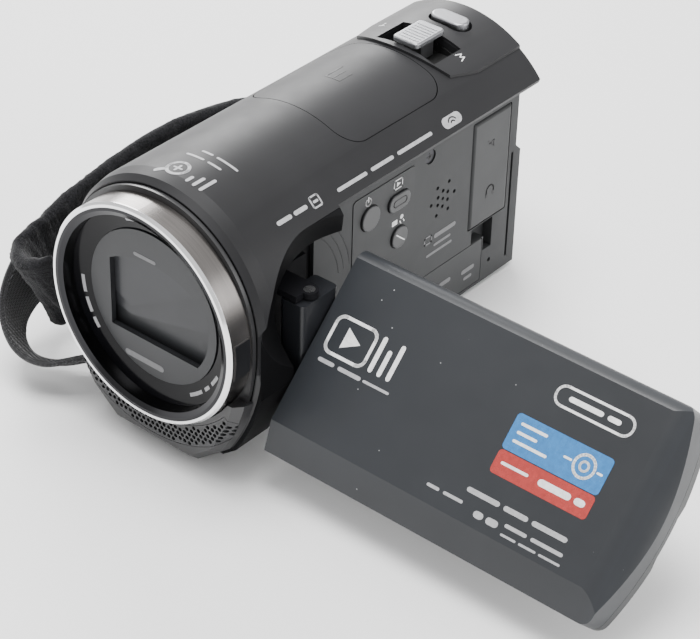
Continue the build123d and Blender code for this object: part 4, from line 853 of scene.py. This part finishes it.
def stitches(name, edge, lift):
    """Short thread stitches along the webbing, near the edge on one side (1 or -1)."""
    bm = bmesh.new()
    last = len(middles) - 1
    for i in range(int(last * STITCHED[0]), int(last * STITCHED[1]), STITCH_STEP):
        along = (middles[i + 1] - middles[i]).normalized()
        side = (acrosses[i] - along * acrosses[i].dot(along)).normalized()
        normal = along.cross(side)
        frame_at = Matrix((side, normal, along)).transposed().to_4x4()
        frame_at.translation = middles[i] + side * (widths[i].x / 2 - STITCH_IN) * edge + normal * lift
        bmesh.ops.create_uvsphere(bm, u_segments=8, v_segments=6, radius=1.0,
                                  matrix=frame_at @ Matrix.Diagonal((*STITCH_SIZE, 1.0)))
    return piece(name, mesh_of(bm, name, smooth=True), THREAD, "camcorder_body")


for label, edge in (("upper", 1), ("lower", -1)):
    stitches(f"stitches_{label}_outer", edge, STITCH_LIFT)
    stitches(f"stitches_{label}_inner", edge, -STITCH_LIFT)

# ---------------------------------------------------------------- studio and camera
FLOOR_HALF = 4
FLOOR_DROP = 0.4 * MM           # clearance under the camcorder
floor_mesh = bpy.data.meshes.new("floor")
floor_corners = [(x * FLOOR_HALF, y * FLOOR_HALF, 0) for x, y in ((-1, -1), (1, -1), (1, 1), (-1, 1))]
floor_mesh.from_pydata(floor_corners, [], [(0, 1, 2, 3)])
floor = bpy.data.objects.new("floor", floor_mesh)
floor.location.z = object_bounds()[0].z - FLOOR_DROP
bpy.context.scene.collection.objects.link(floor)
pale = Nodes("floor_paper")
pale.link(pale.mix(pale.noise(3.0, 2.0), (0.86, 0.86, 0.86), (0.90, 0.90, 0.90)),
          pale.bsdf.inputs["Base Color"])
pale.set(Roughness=0.8)
floor_mesh.materials.append(pale.mat)

world = bpy.data.worlds.new("studio")
bpy.context.scene.world = world
world.use_nodes = True
world.node_tree.nodes["Background"].inputs["Color"].default_value = (1.0, 1.0, 1.0, 1.0)
world.node_tree.nodes["Background"].inputs["Strength"].default_value = 1.0


def soft_light(name, position, aim, size, power):
    """A square lamp that faces a point."""
    lamp = bpy.data.lights.new(name, "AREA")
    lamp.shape, lamp.size, lamp.energy = "SQUARE", size, power
    obj = bpy.data.objects.new(name, lamp)
    obj.location = position
    obj.rotation_mode = "QUATERNION"
    obj.rotation_quaternion = (Vector(aim) - Vector(position)).to_track_quat("-Z", "Y")
    bpy.context.scene.collection.objects.link(obj)


soft_light("key_box", (-0.05, -0.05, 0.85), (0.02, 0.0, 0.03), 0.50, 12.0)
soft_light("back_box", (-0.65, 0.50, 0.40), (0.0, 0.0, 0.04), 0.40, 8.0)
soft_light("right_box", (0.80, 0.30, 0.35), (0.03, 0.0, 0.03), 0.40, 3.2)

VIEW_TURN = math.radians(38.79)         # of the camera round the vertical
VIEW_ROLL = math.radians(1.76)
VIEW_AT = Vector((293.55, -347.36, 328.94)) * MM
VIEW_BACK = Vector((0.51285, -0.63803, 0.57437)).normalized()   # from the camcorder to the camera
right = Vector((math.cos(VIEW_TURN), math.sin(VIEW_TURN), 0)).normalized()
up = VIEW_BACK.cross(right)
rolled_right = right * math.cos(VIEW_ROLL) + up * math.sin(VIEW_ROLL)
rolled_up = up * math.cos(VIEW_ROLL) - right * math.sin(VIEW_ROLL)
view = bpy.data.cameras.new("camera")
view.sensor_width, view.lens = 36.0, 123.74
view.shift_x, view.shift_y = -0.0095, -0.0138
view.clip_start, view.clip_end = 0.01, 20.0
camera = bpy.data.objects.new("camera", view)
pose = Matrix((rolled_right, rolled_up, VIEW_BACK)).transposed().to_4x4()
pose.translation = VIEW_AT
camera.matrix_world = pose
bpy.context.scene.collection.objects.link(camera)
bpy.context.scene.camera = camera
